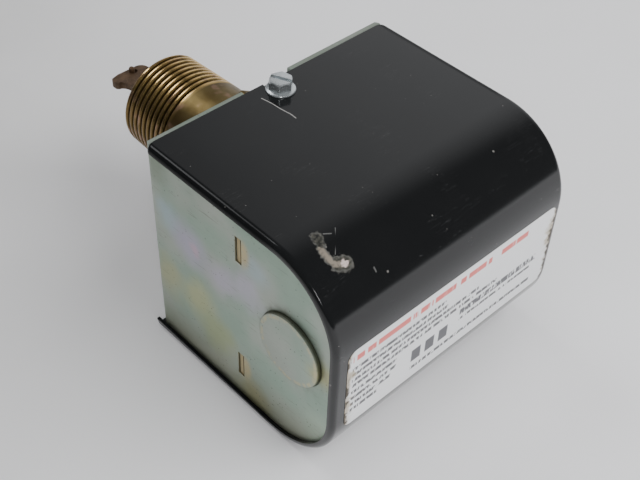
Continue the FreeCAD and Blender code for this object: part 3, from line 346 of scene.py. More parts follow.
def zinc_finish(name):
    """Zinc plate with its film, drawing lines, pits, marks at stakes and knock-outs, and painted
    shade.
    """
    zinc = Finish(name)
    x, y, z = zinc.axes()
    flat = zinc.vector("MULTIPLY", zinc.measured(), (0.0, 1.0, 1.0))
    drift = zinc.vector("MULTIPLY_ADD", zinc.noise(11, 3, colour=True), (0.0, 9.0, 9.0), flat)
    tone = zinc.mix(zinc.noise(22, 3, shift=(3, 0, 2)).rise(0.35, 0.65),
                    (0.34, 0.44, 0.365), (0.43, 0.47, 0.415))
    for py, pz, radius, tint in TINTS:
        away = zinc.vector("DISTANCE", drift, (0.0, py + 4.5, pz + 4.5), output=1)
        tone = zinc.mix(away.rise(radius * 1.35, radius * 0.25) * 0.95, tone,
                        tuple(c * DULLED for c in tint))
    both_stakes = zinc.vector("MULTIPLY", zinc.vector("ABSOLUTE", flat), (0, 1.0, MARK_SHAPE))
    beside_stakes = zinc.vector("DISTANCE", both_stakes, (0.0, MARK_Y, STAKE_Z * MARK_SHAPE),
                                output=1)
    tone = zinc.mix(beside_stakes.rise(3.4, 1.2) * (zinc.noise(1.5, 3) * 0.5 + 0.5), tone,
                    (0.60, 0.49, 0.26))
    # Painted shade: darker towards the lower edge, as in the shade near the paper.
    tone = zinc.mix(z.rise(-15.0, -35.0) * 0.65, tone, (0.22, 0.22, 0.14))
    lines = (zinc.noise(0.35, 3, stretch=(1, 22, 1), turn=(3, 0, 0)).rise(0.60, 0.70)
             * zinc.noise(6, 2, shift=(4, 4, 4)).rise(0.42, 0.56))
    tone = zinc.mix(lines * 0.5, tone, (0.22, 0.23, 0.19))
    pits = zinc.cells(1.3).rise(0.20, 0.10) * zinc.noise(5, 3, shift=(5, 5, 5)).rise(0.48, 0.62)
    tone = zinc.mix(pits * 0.7, tone, (0.08, 0.075, 0.06))
    centre = (0.0, KNOCKOUT_Y, KNOCKOUT_Z)
    out = zinc.vector("DISTANCE", flat, centre, output=1)
    at_end = abs(x).rise(41.0, 41.5)
    worn_ring = (abs(out - (KNOCKOUT_R - 0.9)).rise(0.9, 0.2)
                 * zinc.noise(1.6, 2).rise(0.4, 0.6) * at_end)
    tone = zinc.mix(worn_ring * 0.7, tone, (0.60, 0.55, 0.34))
    outline = abs(out - KNOCKOUT_R).rise(0.30, 0.10) * at_end
    tone = zinc.mix(outline * 0.6, tone, (0.13, 0.12, 0.08))
    in_slot = abs(abs(z) - STAKE_Z).rise(4.6, 4.3) * at_end
    tone = zinc.mix(in_slot * abs(y - STAKE_Y).rise(1.15, 0.95), tone, (0.46, 0.38, 0.22))
    tone = zinc.mix(in_slot * abs(y - STAKE_Y + 1.05).rise(0.42, 0.22), tone, (0.03, 0.025, 0.015))
    # Painted shade on the wall of each knock-out, in the crevice round its edge.
    knockout_wall_painted_shade = (abs(out - (KNOCKOUT_R + 0.05)).rise(0.42, 0.12)
               * at_end * (43.0 - abs(x)).rise(0.25, 0.5))
    tone = zinc.mix(knockout_wall_painted_shade * 0.6, tone, (0.09, 0.10, 0.06))
    # Painted shade on the plate round each knock-out, broken by noise and fading out over 5 mm.
    painted_shade_round_knockout = (zinc.noise(3, 4, shift=(1, 7, 7)).rise(0.45, 0.75)
             * (out - KNOCKOUT_R).rise(5.0, 0.5) * out.rise(KNOCKOUT_R, KNOCKOUT_R + 0.5) * at_end)
    tone = zinc.mix(painted_shade_round_knockout * 0.5, tone, (0.25, 0.24, 0.20))
    rough = 0.40 + zinc.noise(5, 4, shift=(1, 1, 0)) * 0.20
    relief = zinc.noise(0.6, 3) * 0.6 + lines * -0.6 - pits * 2.0
    return zinc.surface(Base_Color=tone, Metallic=0.85, Roughness=rough,
                        Normal=zinc.bump(relief, 0.02))


zinc_plate = zinc_finish("zinc_plate")
frame_mesh = eased("base_frame", 0.18)
BEND_FOOT, BEND_TOP, PLATE = 31.9, 34.25, 1.8
EDGE_TOP, EDGE_SLOPE = 34.95, 0.0052   # the square edge, a little higher at the right
TONGUE, NEAR = 7.8, 0.02   # half the tongue for the screw, and how near counts as on the plate
for vert in frame_mesh.verts:   # the back plate ends in a square edge, not in a round one
    at = vert.co / MM
    if at.z > BEND_FOOT and at.y > -PLATE - NEAR and abs(at.x) > TONGUE:
        share = math.asin(min(1.0, (at.z - BEND_FOOT) / (BEND_TOP - BEND_FOOT))) / math.radians(45)
        edge = EDGE_TOP + at.x * EDGE_SLOPE
        at.z = BEND_FOOT + min(1.0, share) * (edge - BEND_FOOT)
        if at.y > -PLATE + NEAR or share > 2 - NEAR:
            at.y = -PLATE * max(0.0, share - 1.0)
        vert.co = at * MM
base_frame = piece_from(frame_mesh, "base_frame_finished", zinc_plate)
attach(base_frame, "case")
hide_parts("base_frame")
for side in ("left", "right"):
    dress(side + "_knockout", "case", zinc_plate, 0.25)
panel_mesh = eased("cross_panel", 0.12)
TAB_X, TAB_Y, SPREAD = 43.2, -37.4, 0.36
for vert in panel_mesh.verts:   # each tab is spread against the back of its slot
    if abs(vert.co.x) > TAB_X * MM and vert.co.y > TAB_Y * MM:
        vert.co.y += SPREAD * MM
cross_panel = piece_from(panel_mesh, "cross_panel_finished", zinc_plate)
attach(cross_panel, "case")
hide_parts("cross_panel")

# ---------------------------------------------------------------- cover
# Sheet steel wrapped round the top, front and bottom, in black stoving enamel.  The enamel is
# scratched, and it is rubbed through to the metal at the upper left corner of the front.

RAG = 1.0   # a ragged place strays this far either way, in mm
RUBBED = [(-32.6, -55.9, 34.9), (-33.0, -57.6, 34.5), (-34.0, -59.2, 34.0), (-34.2, -61.0, 33.3),
          (-33.9, -63.0, 32.2), (-32.9, -63.9, 31.7), (-30.9, -64.7, 31.3)]
LONG_SCRATCH = [(-6.7, -6.4, 35.3), (-6.1, -9.9, 35.3), (-5.9, -13.5, 35.3), (-5.4, -16.9, 35.3),
                (-5.5, -19.1, 35.3)]
NICKS = [   # each small scratch: its points, its width in mm and how plainly it shows
    ([(-26.9, -56.6, 34.7), (-31.9, -61.9, 32.8)], 0.22, 0.35),
    ([(-30.6, -56.3, 34.8), (-28.9, -57.3, 34.6)], 0.4, 0.35),
    ([(-24.6, -68.2, 28.2), (-24.6, -69.0, 27.4)], 0.5, 0.3),
    ([(-3.8, -71.5, 24.0), (-1.9, -72.0, 23.4), (-0.3, -71.8, 23.5)], 0.2, 0.25),
    ([(-10.7, -70.9, 24.9), (-8.0, -71.4, 24.4)], 0.2, 0.25),
    ([(18.9, -72.3, 22.7), (21.4, -72.2, 22.9)], 0.2, 0.25)]
FILLETS = 1.4   # x half way between the rounded ends of the cover

enamel = Finish("black_enamel")
x, y, _ = enamel.axes()
exact = enamel.measured()
ragged = enamel.vector("MULTIPLY_ADD", enamel.noise(1.1, 4, colour=True), (2 * RAG,) * 3, exact)


def rubbed(first, last, radius):
    """Millimetres from the nearest of the rubbed stretches, less its radius."""
    spots = [tuple(c + RAG for c in point) for point in RUBBED[first:last + 1]]
    gaps = [enamel.gap(ragged, *stretch) for stretch in zip(spots, spots[1:])]
    return reduce(Value.smaller, gaps) - radius


def scored(points, width):
    """A scratch of this width along a few points."""
    gaps = [enamel.gap(exact, *stretch) for stretch in zip(points, points[1:])]
    return reduce(Value.smaller, gaps).rise(width * 0.62, width * 0.3)


haze = rubbed(0, 6, 1.2).smaller(rubbed(5, 6, 2.1)).smaller(rubbed(0, 1, 1.5))
thin = enamel.noise(0.8, 3, shift=(6, 2, 0)).rise(0.34, 0.58) * 0.75 + 0.25
thin = thin.larger((y * -1.0).rise(58.3, 60.5))
primer = haze.rise(0.25, -0.25) * thin
rim_line = abs(haze + 0.25).rise(0.35, 0.1)
steel_line = (rubbed(2, 6, 0.72).rise(0.3, -0.3)
              * enamel.noise(0.9, 3, shift=(3, 1, 0)).rise(0.30, 0.5))
bright_spot = enamel.vector("DISTANCE", ragged, (-30.1, -63.6, 32.4), output=1)
bare = (bright_spot.rise(1.15, 0.75)
        * (enamel.noise(0.6, 2, shift=(8, 1, 1)).rise(0.30, 0.45) * 0.6 + 0.4))
main_scratch = scored(LONG_SCRATCH, 0.32)
small = reduce(Value.larger, [scored(points, width) * share for points, width, share in NICKS])
hair_cloud = enamel.noise(11, 2, stretch=(1, 0.06, 0.3), shift=(0, 3, 0))
hairs = (abs(hair_cloud - 0.5).rise(0.004, 0.001)
         * enamel.noise(12, 1, shift=(7, 0, 0)).rise(0.55, 0.65))
specks = enamel.cells(3.8).rise(0.050, 0.025) * enamel.noise(3, 1, shift=(2, 9, 1)).rise(0.46, 0.6)
dabs = enamel.cells(8.0, shift=(3, 3, 3)).rise(0.050, 0.030) * (y * -1.0).rise(45.0, 60.0)
tone = enamel.mix(enamel.noise(14, 4), (0.0055, 0.006, 0.0065), (0.0085, 0.009, 0.0095))
tone = enamel.mix(hairs * 0.4, tone, (0.09, 0.09, 0.09))
tone = enamel.mix(specks.larger(dabs) * 0.55, tone, (0.30, 0.29, 0.27))
tone = enamel.mix(small, tone, (0.32, 0.32, 0.31))
tone = enamel.mix(primer * 0.9, tone, enamel.mix(enamel.noise(0.7, 3).rise(0.35, 0.7),
                                                 (0.035, 0.036, 0.030), (0.115, 0.11, 0.095)))
tone = enamel.mix(primer * rim_line * 0.35, tone, (0.16, 0.16, 0.155))
tone = enamel.mix(steel_line, tone, (0.24, 0.21, 0.17))
tone = enamel.mix(bare, tone, (0.60, 0.50, 0.47))
tone = enamel.mix(main_scratch, tone, (0.34, 0.33, 0.32))
on_fillet = abs(x - FILLETS).rise(42.2, 42.9) * y.rise(-54.0, -46.0)
dull = (primer * 0.4).larger(main_scratch * 0.3)
gloss = (1.0 - on_fillet * 0.9) * (1.0 - primer) * 0.72
black_enamel = enamel.surface(
    Base_Color=tone, Specular_IOR_Level=0.10, Coat_Weight=gloss, Coat_Roughness=0.12, Coat_IOR=1.5,
    Roughness=0.11 + enamel.noise(7, 5, shift=(4, 0, 2)) * 0.10 + dull,
    Normal=enamel.bump(enamel.noise(1.6, 2) * 0.5 - primer * 4.0 - main_scratch * 3.0, 0.008))

cover_low, cover_high = (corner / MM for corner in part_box("cover"))
BEND, EDGE, SHEET = 23.6, 1.6, 0.9   # radius of the big bends and of the rolled rims; thickness
RIM, LOW_RIM, LIP = 2.1, 3.1, 0.4   # depth of the rolled rims above and below, and their flat
BACK, SLOT, SLOT_END, CORNER = -1.8, 2.3, -6.8, 1.4   # back edge, screw slot and its corners
LABEL_ROOM = 0.12   # what the foil on the front takes up of the solid's depth
TOP_DEPTH, ENDS_FROM = 5, 30   # how far down is still the top panel, and the x of its two ends
front, top, low = cover_low.y + LABEL_ROOM, cover_high.z, cover_low.z
shell = bmesh.new()
half = [(cover_low.x, RIM), (cover_low.x, RIM / 2 + EDGE / 2)]
half += [(cover_low.x + EDGE * (1 - math.cos(math.radians(a))),
          EDGE * (1 - math.sin(math.radians(a)))) for a in range(0, 91, 15)]
half += [(cover_low.x + EDGE + LIP, 0.0)]
other = [(cover_low.x + cover_high.x - across, deep) for across, deep in reversed(half)]
section = half + [(SLOT * share, 0.0) for share in (-1, -0.71, 0, 0.71, 1)] + other
ring = [shell.verts.new((across, BACK, top - deep)) for across, deep in section]
path = [shell.edges.new(pair) for pair in zip(ring, ring[1:])]


def draw_out(edges, vector):
    """Carry the open edge of the sheet on in a straight line."""
    grown = bmesh.ops.extrude_edge_only(shell, edges=edges)["geom"]
    bmesh.ops.translate(shell, vec=vector,
                        verts=[g for g in grown if isinstance(g, bmesh.types.BMVert)])
    return [g for g in grown if isinstance(g, bmesh.types.BMEdge)]


def bend(edges, centre_z):
    """Carry the open edge of the sheet round a quarter turn."""
    verts = list({v for e in edges for v in e.verts})
    last = bmesh.ops.spin(shell, geom=verts + edges, cent=(0, front + BEND, centre_z),
                          axis=(1, 0, 0), angle=math.radians(90), steps=30,
                          use_merge=False)["geom_last"]
    return [g for g in last if isinstance(g, bmesh.types.BMEdge)]


for step in (-0.1, -0.2, -0.3, -0.4, -0.4, SLOT_END + CORNER - BACK):
    path = draw_out(path, (0, step, 0))
path = draw_out(path, (0, front + BEND - min(v.co.y for v in shell.verts), 0))
path = bend(path, top - BEND)
path = draw_out(path, (0, 0, low + BEND - (top - BEND)))
path = bend(path, low + BEND)
path = draw_out(path, (0, cover_high.y - (front + BEND), 0))
slotted = [f for f in shell.faces if f.calc_center_median().y > SLOT_END
           and f.calc_center_median().z > top - 0.1 and abs(f.calc_center_median().x) < SLOT]
bmesh.ops.delete(shell, geom=slotted, context="FACES_ONLY")
for vert in shell.verts:
    on_top = vert.co.z > top - TOP_DEPTH
    if on_top and abs(vert.co.y - SLOT_END) < 0.01 and abs(vert.co.x) <= SLOT:
        vert.co.y -= math.sqrt(max(0.0, SLOT ** 2 - vert.co.x ** 2))
    if on_top and vert.co.y > BACK - CORNER and abs(vert.co.x) > ENDS_FROM:
        drop = CORNER - math.sqrt(max(0.0, CORNER ** 2 - (vert.co.y - BACK + CORNER) ** 2))
        vert.co.x -= math.copysign(drop, vert.co.x)
    if vert.co.z < low + BEND and abs(vert.co.z - low) > 0.5 and vert.co.y > front + BEND:
        vert.co.z += (LOW_RIM - RIM) * min(1.0, max(0.0, (low + BEND - vert.co.z) / BEND))
bmesh.ops.recalc_face_normals(shell, faces=shell.faces)
top_faces = [f for f in shell.faces if f.calc_center_median().z > top - 0.1]
if sum(f.normal.z * f.calc_area() for f in top_faces) < 0:
    bmesh.ops.reverse_faces(shell, faces=shell.faces)
bmesh.ops.solidify(shell, geom=shell.faces[:], thickness=SHEET)
bmesh.ops.scale(shell, vec=(MM,) * 3, verts=shell.verts)
cover = piece_from(shell, "cover_enamelled", black_enamel, 50)
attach(cover, "cover")
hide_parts("cover")

# ---------------------------------------------------------------- rating label
# Printed foil stuck on the front of the cover; its lower edge laps on to the lower bend.
# It says nothing: plain dashes stand where print would be.  Its ends are stained and rubbed away.

LABEL = {"left": -38.7, "right": 43.9, "top": 12.2, "low": -17.7, "corner": 3.0}
FOIL, GLUE = 0.10, 0.02   # thickness of each
DASHES = [   # left end, right end, level and half height of each plain dash
    (-36.9, -2.0, 5.0, 0.6), (-36.9, -1.0, 2.8, 0.6), (-36.9, 12.0, 0.6, 0.6),
    (-36.9, 20.0, -1.6, 0.6), (-36.9, -20.0, -4.2, 0.6), (-36.9, -20.0, -6.6, 0.6),
    (-36.9, -22.0, -9.0, 0.6), (-36.9, -27.0, -11.4, 0.6), (5.0, 38.0, -4.4, 1.1),
    (5.0, 36.0, -7.2, 0.5), (-14.0, 37.0, -13.0, 0.6)]
BARS = [(-14.0, -10.4, -8.0, 2.3), (-8.6, -5.0, -8.0, 2.3), (-3.2, 0.4, -8.0, 2.3)]
HEADING = [(-36.9, 16.0, 8.9, 1.05), (20.0, 31.5, 8.9, 1.05)]

foil = Finish("label_foil")
x, _, z = foil.axes()
blotch = foil.noise(3.2, 4, shift=(0, 0, 3))
from_end = (x - LABEL["left"]).smaller(LABEL["right"] - x)
stain = (from_end + blotch * 9.0).rise(7.0, 4.6)
worn_away = ((from_end + foil.noise(1.2, 3) * 4.0).rise(3.2, 2.3)
             * foil.noise(4, 2, shift=(9, 0, 0)).rise(0.38, 0.48))
ground = foil.mix(foil.noise(25, 2), (0.82, 0.83, 0.85), (0.90, 0.90, 0.91))


def strip(left, right, level, half):
    """A printed strip with square ends."""
    return (abs(x - (left + right) / 2).rise((right - left) / 2 + 0.1, (right - left) / 2 - 0.1)
            * abs(z - level).rise(half + 0.12, half - 0.12))


def strips(places):
    """Several printed strips together."""
    return reduce(Value.larger, [strip(*place) for place in places])


broken = foil.noise(0.75, 1, stretch=(1, 1, 3.6)).rise(0.42, 0.48)
heading_gaps = foil.noise(1.3, 1, stretch=(1, 40, 40), shift=(5, 0, 5)).rise(0.40, 0.44)
print_tone = foil.mix((strips(DASHES) * broken).larger(strips(BARS)) * 0.95, ground,
                      (0.07, 0.07, 0.08))
print_tone = foil.mix(strips(HEADING) * heading_gaps * 0.9, print_tone, (0.75, 0.10, 0.08))
print_tone = foil.mix(stain * 0.7, print_tone, (0.38, 0.29, 0.15))
print_tone = foil.mix(worn_away, print_tone, (0.06, 0.045, 0.025))
label_foil = foil.surface(Base_Color=print_tone, Roughness=0.42 + blotch * 0.12,
                          Normal=foil.bump(foil.noise(5, 2), 0.02))

label_mesh = bmesh.new()
outline = []
for corner in range(4):
    cx = LABEL["left"] + LABEL["corner"] if corner in (1, 2) else LABEL["right"] - LABEL["corner"]
    cz = LABEL["top"] - LABEL["corner"] if corner in (0, 1) else LABEL["low"] + LABEL["corner"]
    for step in range(7):
        angle = math.radians(90 * corner + 15 * step)
        outline.append(label_mesh.verts.new((cx + LABEL["corner"] * math.cos(angle), 0,
                                             cz + LABEL["corner"] * math.sin(angle))))
label_mesh.faces.new(outline)
bend_line = low + BEND
for step in range(6):   # cuts across the foil, so that it can follow the bend
    bmesh.ops.bisect_plane(label_mesh,
                           geom=label_mesh.verts[:] + label_mesh.edges[:] + label_mesh.faces[:],
                           plane_co=(0, 0, bend_line - step), plane_no=(0, 0, 1))
for vert in label_mesh.verts:
    past = max(0.0, bend_line - vert.co.z)
    angle = past / BEND
    reach = BEND + GLUE
    vert.co.y = front + BEND - reach * math.cos(angle)
    if past:
        vert.co.z = bend_line - reach * math.sin(angle)
bmesh.ops.recalc_face_normals(label_mesh, faces=label_mesh.faces)
if label_mesh.faces[:][0].normal.y > 0:
    bmesh.ops.reverse_faces(label_mesh, faces=label_mesh.faces)
bmesh.ops.solidify(label_mesh, geom=label_mesh.faces[:], thickness=-FOIL)
bmesh.ops.scale(label_mesh, vec=(MM,) * 3, verts=label_mesh.verts)
label = piece_from(label_mesh, "rating_label", label_foil)
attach(label, "cover")

# ---------------------------------------------------------------- screws, nuts and small steel
# Bright zinc plated fasteners.  The cover screw has a slotted hexagon head, pressed in one piece
# with its washer.  Pins, clips and rivets are plain spring steel, and the ground screw is
# lacquered green.


def plated(name, colour, rough, metallic=1.0):
    """Plated or drawn metal, a little uneven in tone and gloss."""
    steel = Finish(name)
    tint = steel.mix(steel.noise(1.8, 3), colour, tuple(c * 0.72 for c in colour))
    return steel.surface(Base_Color=tint, Metallic=metallic,
                         Roughness=rough + steel.noise(0.9, 3, shift=(2, 2, 2)) * 0.15,
                         Normal=steel.bump(steel.noise(0.5, 3), 0.01))


zinc_screw = plated("zinc_screw", (0.80, 0.85, 0.87), 0.20, metallic=0.84)
spring_steel = plated("spring_steel", (0.50, 0.50, 0.52), 0.22)
green_lacquer = plated("green_lacquer", (0.04, 0.26, 0.09), 0.25, metallic=0.3)

SCREW_Y, SEAT, HEAD_TOP, FLATS = -6.8, cover_high.z, 39.1, 6.35
WASHER, WASHER_LIP, SLOT_HALF, SLOT_FLOOR = 4.3, 0.3, 0.6, 37.9   # radii, half width, height
TURNED, SLOT_TURN = math.radians(41), math.radians(-65.6)
BLANK = 1.125   # radius of the round blank, in halves of the width across flats
SHANK_R, SHANK_TOP_R, SHANK, SHANK_MIDDLE = 1.7, 2.05, 5.0, -2.4   # the last from the seat


def head_ring(mesh, edges, grow, height):
    """Carry a ring of the screw's head on to another size and height."""
    grown = bmesh.ops.extrude_edge_only(mesh, edges=edges)["geom"]
    for vert in (g for g in grown if isinstance(g, bmesh.types.BMVert)):
        vert.co.x *= grow
        vert.co.y *= grow
        vert.co.z = height
    return [g for g in grown if isinstance(g, bmesh.types.BMEdge)]


def hexagon_block(bottom, top_height, domed):
    """Part of the head: round blank pressed to a hexagon, its top corners turned off."""
    mesh = bmesh.new()
    bmesh.ops.create_circle(mesh, segments=72, radius=1.0)
    for vert in mesh.verts:
        around = math.atan2(vert.co.y, vert.co.x)
        from_flat = (around - TURNED) % math.radians(60) - math.radians(30)
        reach = min(FLATS / 2 / math.cos(from_flat), FLATS / 2 * BLANK)
        vert.co = Vector((reach * math.cos(around), reach * math.sin(around), bottom))
    foot = mesh.edges[:]
    rim = head_ring(mesh, foot, 1.0, top_height)
    if domed:
        for vert in {v for e in rim for v in e.verts}:
            vert.co.z -= 0.25 + (math.hypot(vert.co.x, vert.co.y) - FLATS / 2) * 1.1
        rim = head_ring(mesh, rim, 0.93, top_height - 0.06)
        rim = head_ring(mesh, rim, 0.88, top_height)
    bmesh.ops.edgeloop_fill(mesh, edges=foot)
    bmesh.ops.edgeloop_fill(mesh, edges=rim)
    bmesh.ops.recalc_face_normals(mesh, faces=mesh.faces)
    return mesh


def joined(mesh, other):
    """Put another closed shell into a mesh."""
    carried = bpy.data.meshes.new("carried")
    other.to_mesh(carried)
    other.free()
    mesh.from_mesh(carried)
    bpy.data.meshes.remove(carried)


screw_mesh = hexagon_block(SEAT + 0.7, SLOT_FLOOR, False)
slot_across = Vector((-math.sin(SLOT_TURN), math.cos(SLOT_TURN), 0))
for side in (1, -1):
    cheek = hexagon_block(SLOT_FLOOR - 0.05, HEAD_TOP, True)
    bmesh.ops.bisect_plane(cheek, geom=cheek.verts[:] + cheek.edges[:] + cheek.faces[:],
                           plane_co=slot_across * SLOT_HALF * side, plane_no=slot_across * side,
                           clear_inner=True)
    bmesh.ops.holes_fill(cheek, edges=[e for e in cheek.edges if e.is_boundary])
    bmesh.ops.recalc_face_normals(cheek, faces=cheek.faces)
    cut = [e for e in cheek.edges if len(e.link_faces) == 2
           and e.calc_face_angle(0) > math.radians(60)]
    bmesh.ops.bevel(cheek, geom=cut, offset=0.09, offset_type="OFFSET", affect="EDGES",
                    segments=2, profile=0.5, material=-1)
    joined(screw_mesh, cheek)
washer = bmesh.new()
bmesh.ops.create_circle(washer, segments=72, radius=WASHER - WASHER_LIP)
for vert in washer.verts:
    vert.co.z = SEAT
foot = washer.edges[:]
rim = foot
for grow, rise in ((WASHER / (WASHER - WASHER_LIP), 0.12), (1.0, 0.42), (0.97, 0.58), (0.88, 0.72),
                   (0.82, 0.95)):
    rim = head_ring(washer, rim, grow, SEAT + rise)
bmesh.ops.edgeloop_fill(washer, edges=foot)
bmesh.ops.edgeloop_fill(washer, edges=rim)
bmesh.ops.recalc_face_normals(washer, faces=washer.faces)
joined(screw_mesh, washer)
shank = bmesh.new()
bmesh.ops.create_cone(shank, cap_ends=True, segments=32, radius1=SHANK_R, radius2=SHANK_TOP_R,
                      depth=SHANK, matrix=Matrix.Translation((0, 0, SEAT + SHANK_MIDDLE)))
joined(screw_mesh, shank)
bmesh.ops.translate(screw_mesh, vec=(0, SCREW_Y, 0), verts=screw_mesh.verts)
bmesh.ops.scale(screw_mesh, vec=(MM,) * 3, verts=screw_mesh.verts)
cover_screw = piece_from(screw_mesh, "cover_screw_slotted", zinc_screw, 28)
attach(cover_screw, "case")
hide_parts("cover_screw")
for node in ("body_screws", "lever_yoke", "terminal_screws", "switch_screws", "switch_nuts",
             "range_bracket"):
    dress(node, "case", zinc_screw, 0.15)
for node in ("actuator_screw", "actuator_nut"):
    dress(node, "lever", zinc_screw, 0.15)
for node in ("pivot_pin", "pin_clips", "bracket_rivets"):
    dress(node, "case", spring_steel, 0.12)
dress("screw_retainer", "adjuster", spring_steel, 0.1)
dress("ground_screw", "case", green_lacquer, 0.2)

# ---------------------------------------------------------------- pipe body
# Turned from brass hexagon bar: a plain neck and a one-inch taper thread, 11.5 turns to the
# inch, cut helically.  The grooves hold dark tarnish and the crests are rubbed bright.

PITCH = 25.4 / 11.5
STEPS = 96   # in each turn
NECK_R, NECK_END, HEX_END, ACROSS_FLATS = 16.7, 29.1, 10.6, 44.45
BORE_R, TAPER, GROOVE = 12.4, 1 / 32, 1.25   # the taper on the radius, the groove's depth
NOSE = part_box("pipe_body")[1].y / MM
RUN_OUT = NECK_END - 0.6 * PITCH   # where the shallowest turn leaves the neck
NOSE_SET_IN, NOSE_SLOPE = 0.85, 1.4   # the chamfer on the nose
THREAD = [   # along one pitch and how deep, both as shares: run, root, flanks and crest
    (0.0, 0.18), (0.06, 0.04), (0.12, 0.0), (0.38, 0.0), (0.45, 0.04), (0.51, 0.18),
    (0.72, 1.0), (0.79, 1.0), (1.0, 0.18)]
INSIDE = [   # radius and place of each ring: into the bore, through its floor and out behind
    (BORE_R + 0.5, NOSE), (BORE_R, NOSE - 0.5), (BORE_R, 3.0), (8.6, 3.0), (8.6, -1.8),
    (14.0, -1.8), (14.0, 1.0)]

brass = Finish("brass")
x, y, z = brass.axes()
radius = x.maths("SQRT", x * x + z * z)
crest = NECK_R - (y - NECK_END).larger(0.0) * TAPER
threaded = y.rise(NECK_END - 1.5, NECK_END + 0.5) * radius.rise(13.6, 14.2)
depth = (crest - radius).rise(0.08, 0.70) * threaded
patina = brass.noise(7, 4, shift=(1, 2, 0))
tone = brass.mix(patina.rise(0.35, 0.65), (0.165, 0.118, 0.045), (0.235, 0.175, 0.073))
tone = brass.mix(threaded * 0.9, tone, (0.88, 0.60, 0.24))
# Painted shade: the lower left side of the body is darkened to brown, as turned from the light.
tone = brass.mix((z * 0.8 + x).rise(6.0, -9.0) * 0.84, tone, (0.115, 0.075, 0.032))
tone = brass.mix(brass.noise(5, 2, shift=(6, 1, 3)).rise(0.55, 0.72) * 0.6, tone,
                 (0.46, 0.28, 0.20))
stain = brass.noise(2.2, 4, shift=(2, 2, 7), stretch=(1, 3, 1)).rise(0.5, 0.75)
tone = brass.mix(stain * 0.45, tone, (0.13, 0.10, 0.045))
tone = brass.mix(depth * 0.96, tone, (0.035, 0.022, 0.009))
turning = brass.noise(0.25, 2, stretch=(60, 1, 60))
rough = 0.38 - threaded * 0.21 + brass.noise(4, 4) * 0.16 + depth * 0.25
brass_metal = brass.surface(Base_Color=tone, Metallic=1.0, Roughness=rough,
                            Normal=brass.bump(turning * 0.7 + brass.noise(2.5, 3) * 0.6, 0.02))

thread_mesh = bmesh.new()
first = NECK_END - PITCH
turns = math.ceil((NOSE - first) / PITCH) + 1
points = [thread_mesh.verts.new((NECK_R - deep * GROOVE, first - PITCH + share * PITCH, 0))
          for share, deep in THREAD]
edges = [thread_mesh.edges.new(pair) for pair in zip(points, points[1:])]
bmesh.ops.spin(thread_mesh, geom=points + edges, cent=(0, 0, 0), axis=(0, 1, 0),
               dvec=(0, PITCH / STEPS, 0), angle=math.tau * (turns + 1), steps=STEPS * (turns + 1),
               use_merge=False)
bmesh.ops.remove_doubles(thread_mesh, verts=thread_mesh.verts, dist=0.01)


def cut_at(mesh, level, keep_above):
    """Cut a mesh across the axis of the pipe body and throw one side away."""
    bmesh.ops.bisect_plane(mesh, geom=mesh.verts[:] + mesh.edges[:] + mesh.faces[:], dist=1e-5,
                           plane_co=(0, level, 0), plane_no=(0, 1, 0),
                           clear_inner=keep_above, clear_outer=not keep_above)


cut_at(thread_mesh, RUN_OUT, True)
cut_at(thread_mesh, NOSE, False)
for vert in thread_mesh.verts:
    along = vert.co.y
    now = math.hypot(vert.co.x, vert.co.z)
    run_in = min(1.0, max(0.0, (along - NECK_END + 0.55 * PITCH) / (1.1 * PITCH)))
    wanted = NECK_R - (NECK_R - now) * run_in - max(0.0, along - NECK_END) * TAPER
    wanted = min(wanted, NECK_R - TAPER * (NOSE - NECK_END) - NOSE_SET_IN
                 + (NOSE - along) * NOSE_SLOPE)
    vert.co.x *= wanted / now
    vert.co.z *= wanted / now


def carry_on(mesh, level, rings):
    """Extrude the round rim at this level through rings of a radius and a place each."""
    edges = [e for e in mesh.edges
             if e.is_boundary and all(abs(v.co.y - level) < 1e-3 for v in e.verts)]
    for radius_to, along in rings:
        grown = bmesh.ops.extrude_edge_only(mesh, edges=edges)["geom"]
        edges = [g for g in grown if isinstance(g, bmesh.types.BMEdge)]
        for vert in {v for e in edges for v in e.verts}:
            now = math.hypot(vert.co.x, vert.co.z)
            vert.co.x *= radius_to / now
            vert.co.z *= radius_to / now
            vert.co.y = along


carry_on(thread_mesh, RUN_OUT, [(NECK_R, HEX_END - 0.5)])
carry_on(thread_mesh, NOSE, INSIDE)
bmesh.ops.recalc_face_normals(thread_mesh, faces=thread_mesh.faces)
bmesh.ops.scale(thread_mesh, vec=(MM,) * 3, verts=thread_mesh.verts)

hex_mesh = bmesh.new()
corner_r = ACROSS_FLATS / math.sqrt(3)
bmesh.ops.create_cone(hex_mesh, cap_ends=True, segments=6, radius1=corner_r, radius2=corner_r,
                      depth=HEX_END, matrix=Matrix.Rotation(math.radians(90), 4, "X"))
bmesh.ops.translate(hex_mesh, verts=hex_mesh.verts, vec=(0, HEX_END / 2, 0))
bmesh.ops.bevel(hex_mesh, geom=hex_mesh.edges[:], offset=0.7, offset_type="OFFSET", affect="EDGES",
                segments=3, profile=0.5, material=-1)
bmesh.ops.scale(hex_mesh, vec=(MM,) * 3, verts=hex_mesh.verts)
joined(thread_mesh, hex_mesh)
pipe_body = piece_from(thread_mesh, "pipe_body_threaded", brass_metal, 28)
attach(pipe_body, "case")
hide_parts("pipe_body")
dress("switch_terminals", "case", brass_metal, 0.15)
dress("range_screw", "adjuster", brass_metal, 0.15)
dress("range_nut", "spring_nut", brass_metal, 0.2)

# ---------------------------------------------------------------- lever and bellows
# The lever is a flat bronze bar, oxidised brown, with a hooked end for the paddle and a domed
# locating pin.  A thin brass bellows seals it into the pipe body.

STEM_FROM, STEM_THIN = 26, 0.8   # past this y the bar is thinner than its solid, by this factor
SIDE_X, SIDE_IN = -3.5, 1.3   # and the side of it with the hook is drawn in
HOOK_X, HOOK_RUN, HOOK_Y, HOOK_SOFT, HOOK_END = -4.6, 1.2, 60.0, 2.0, 67   # its inner edge
HOOK_CUT = 2.2   # is cut back by this much, fading in over the run and the soft stretch

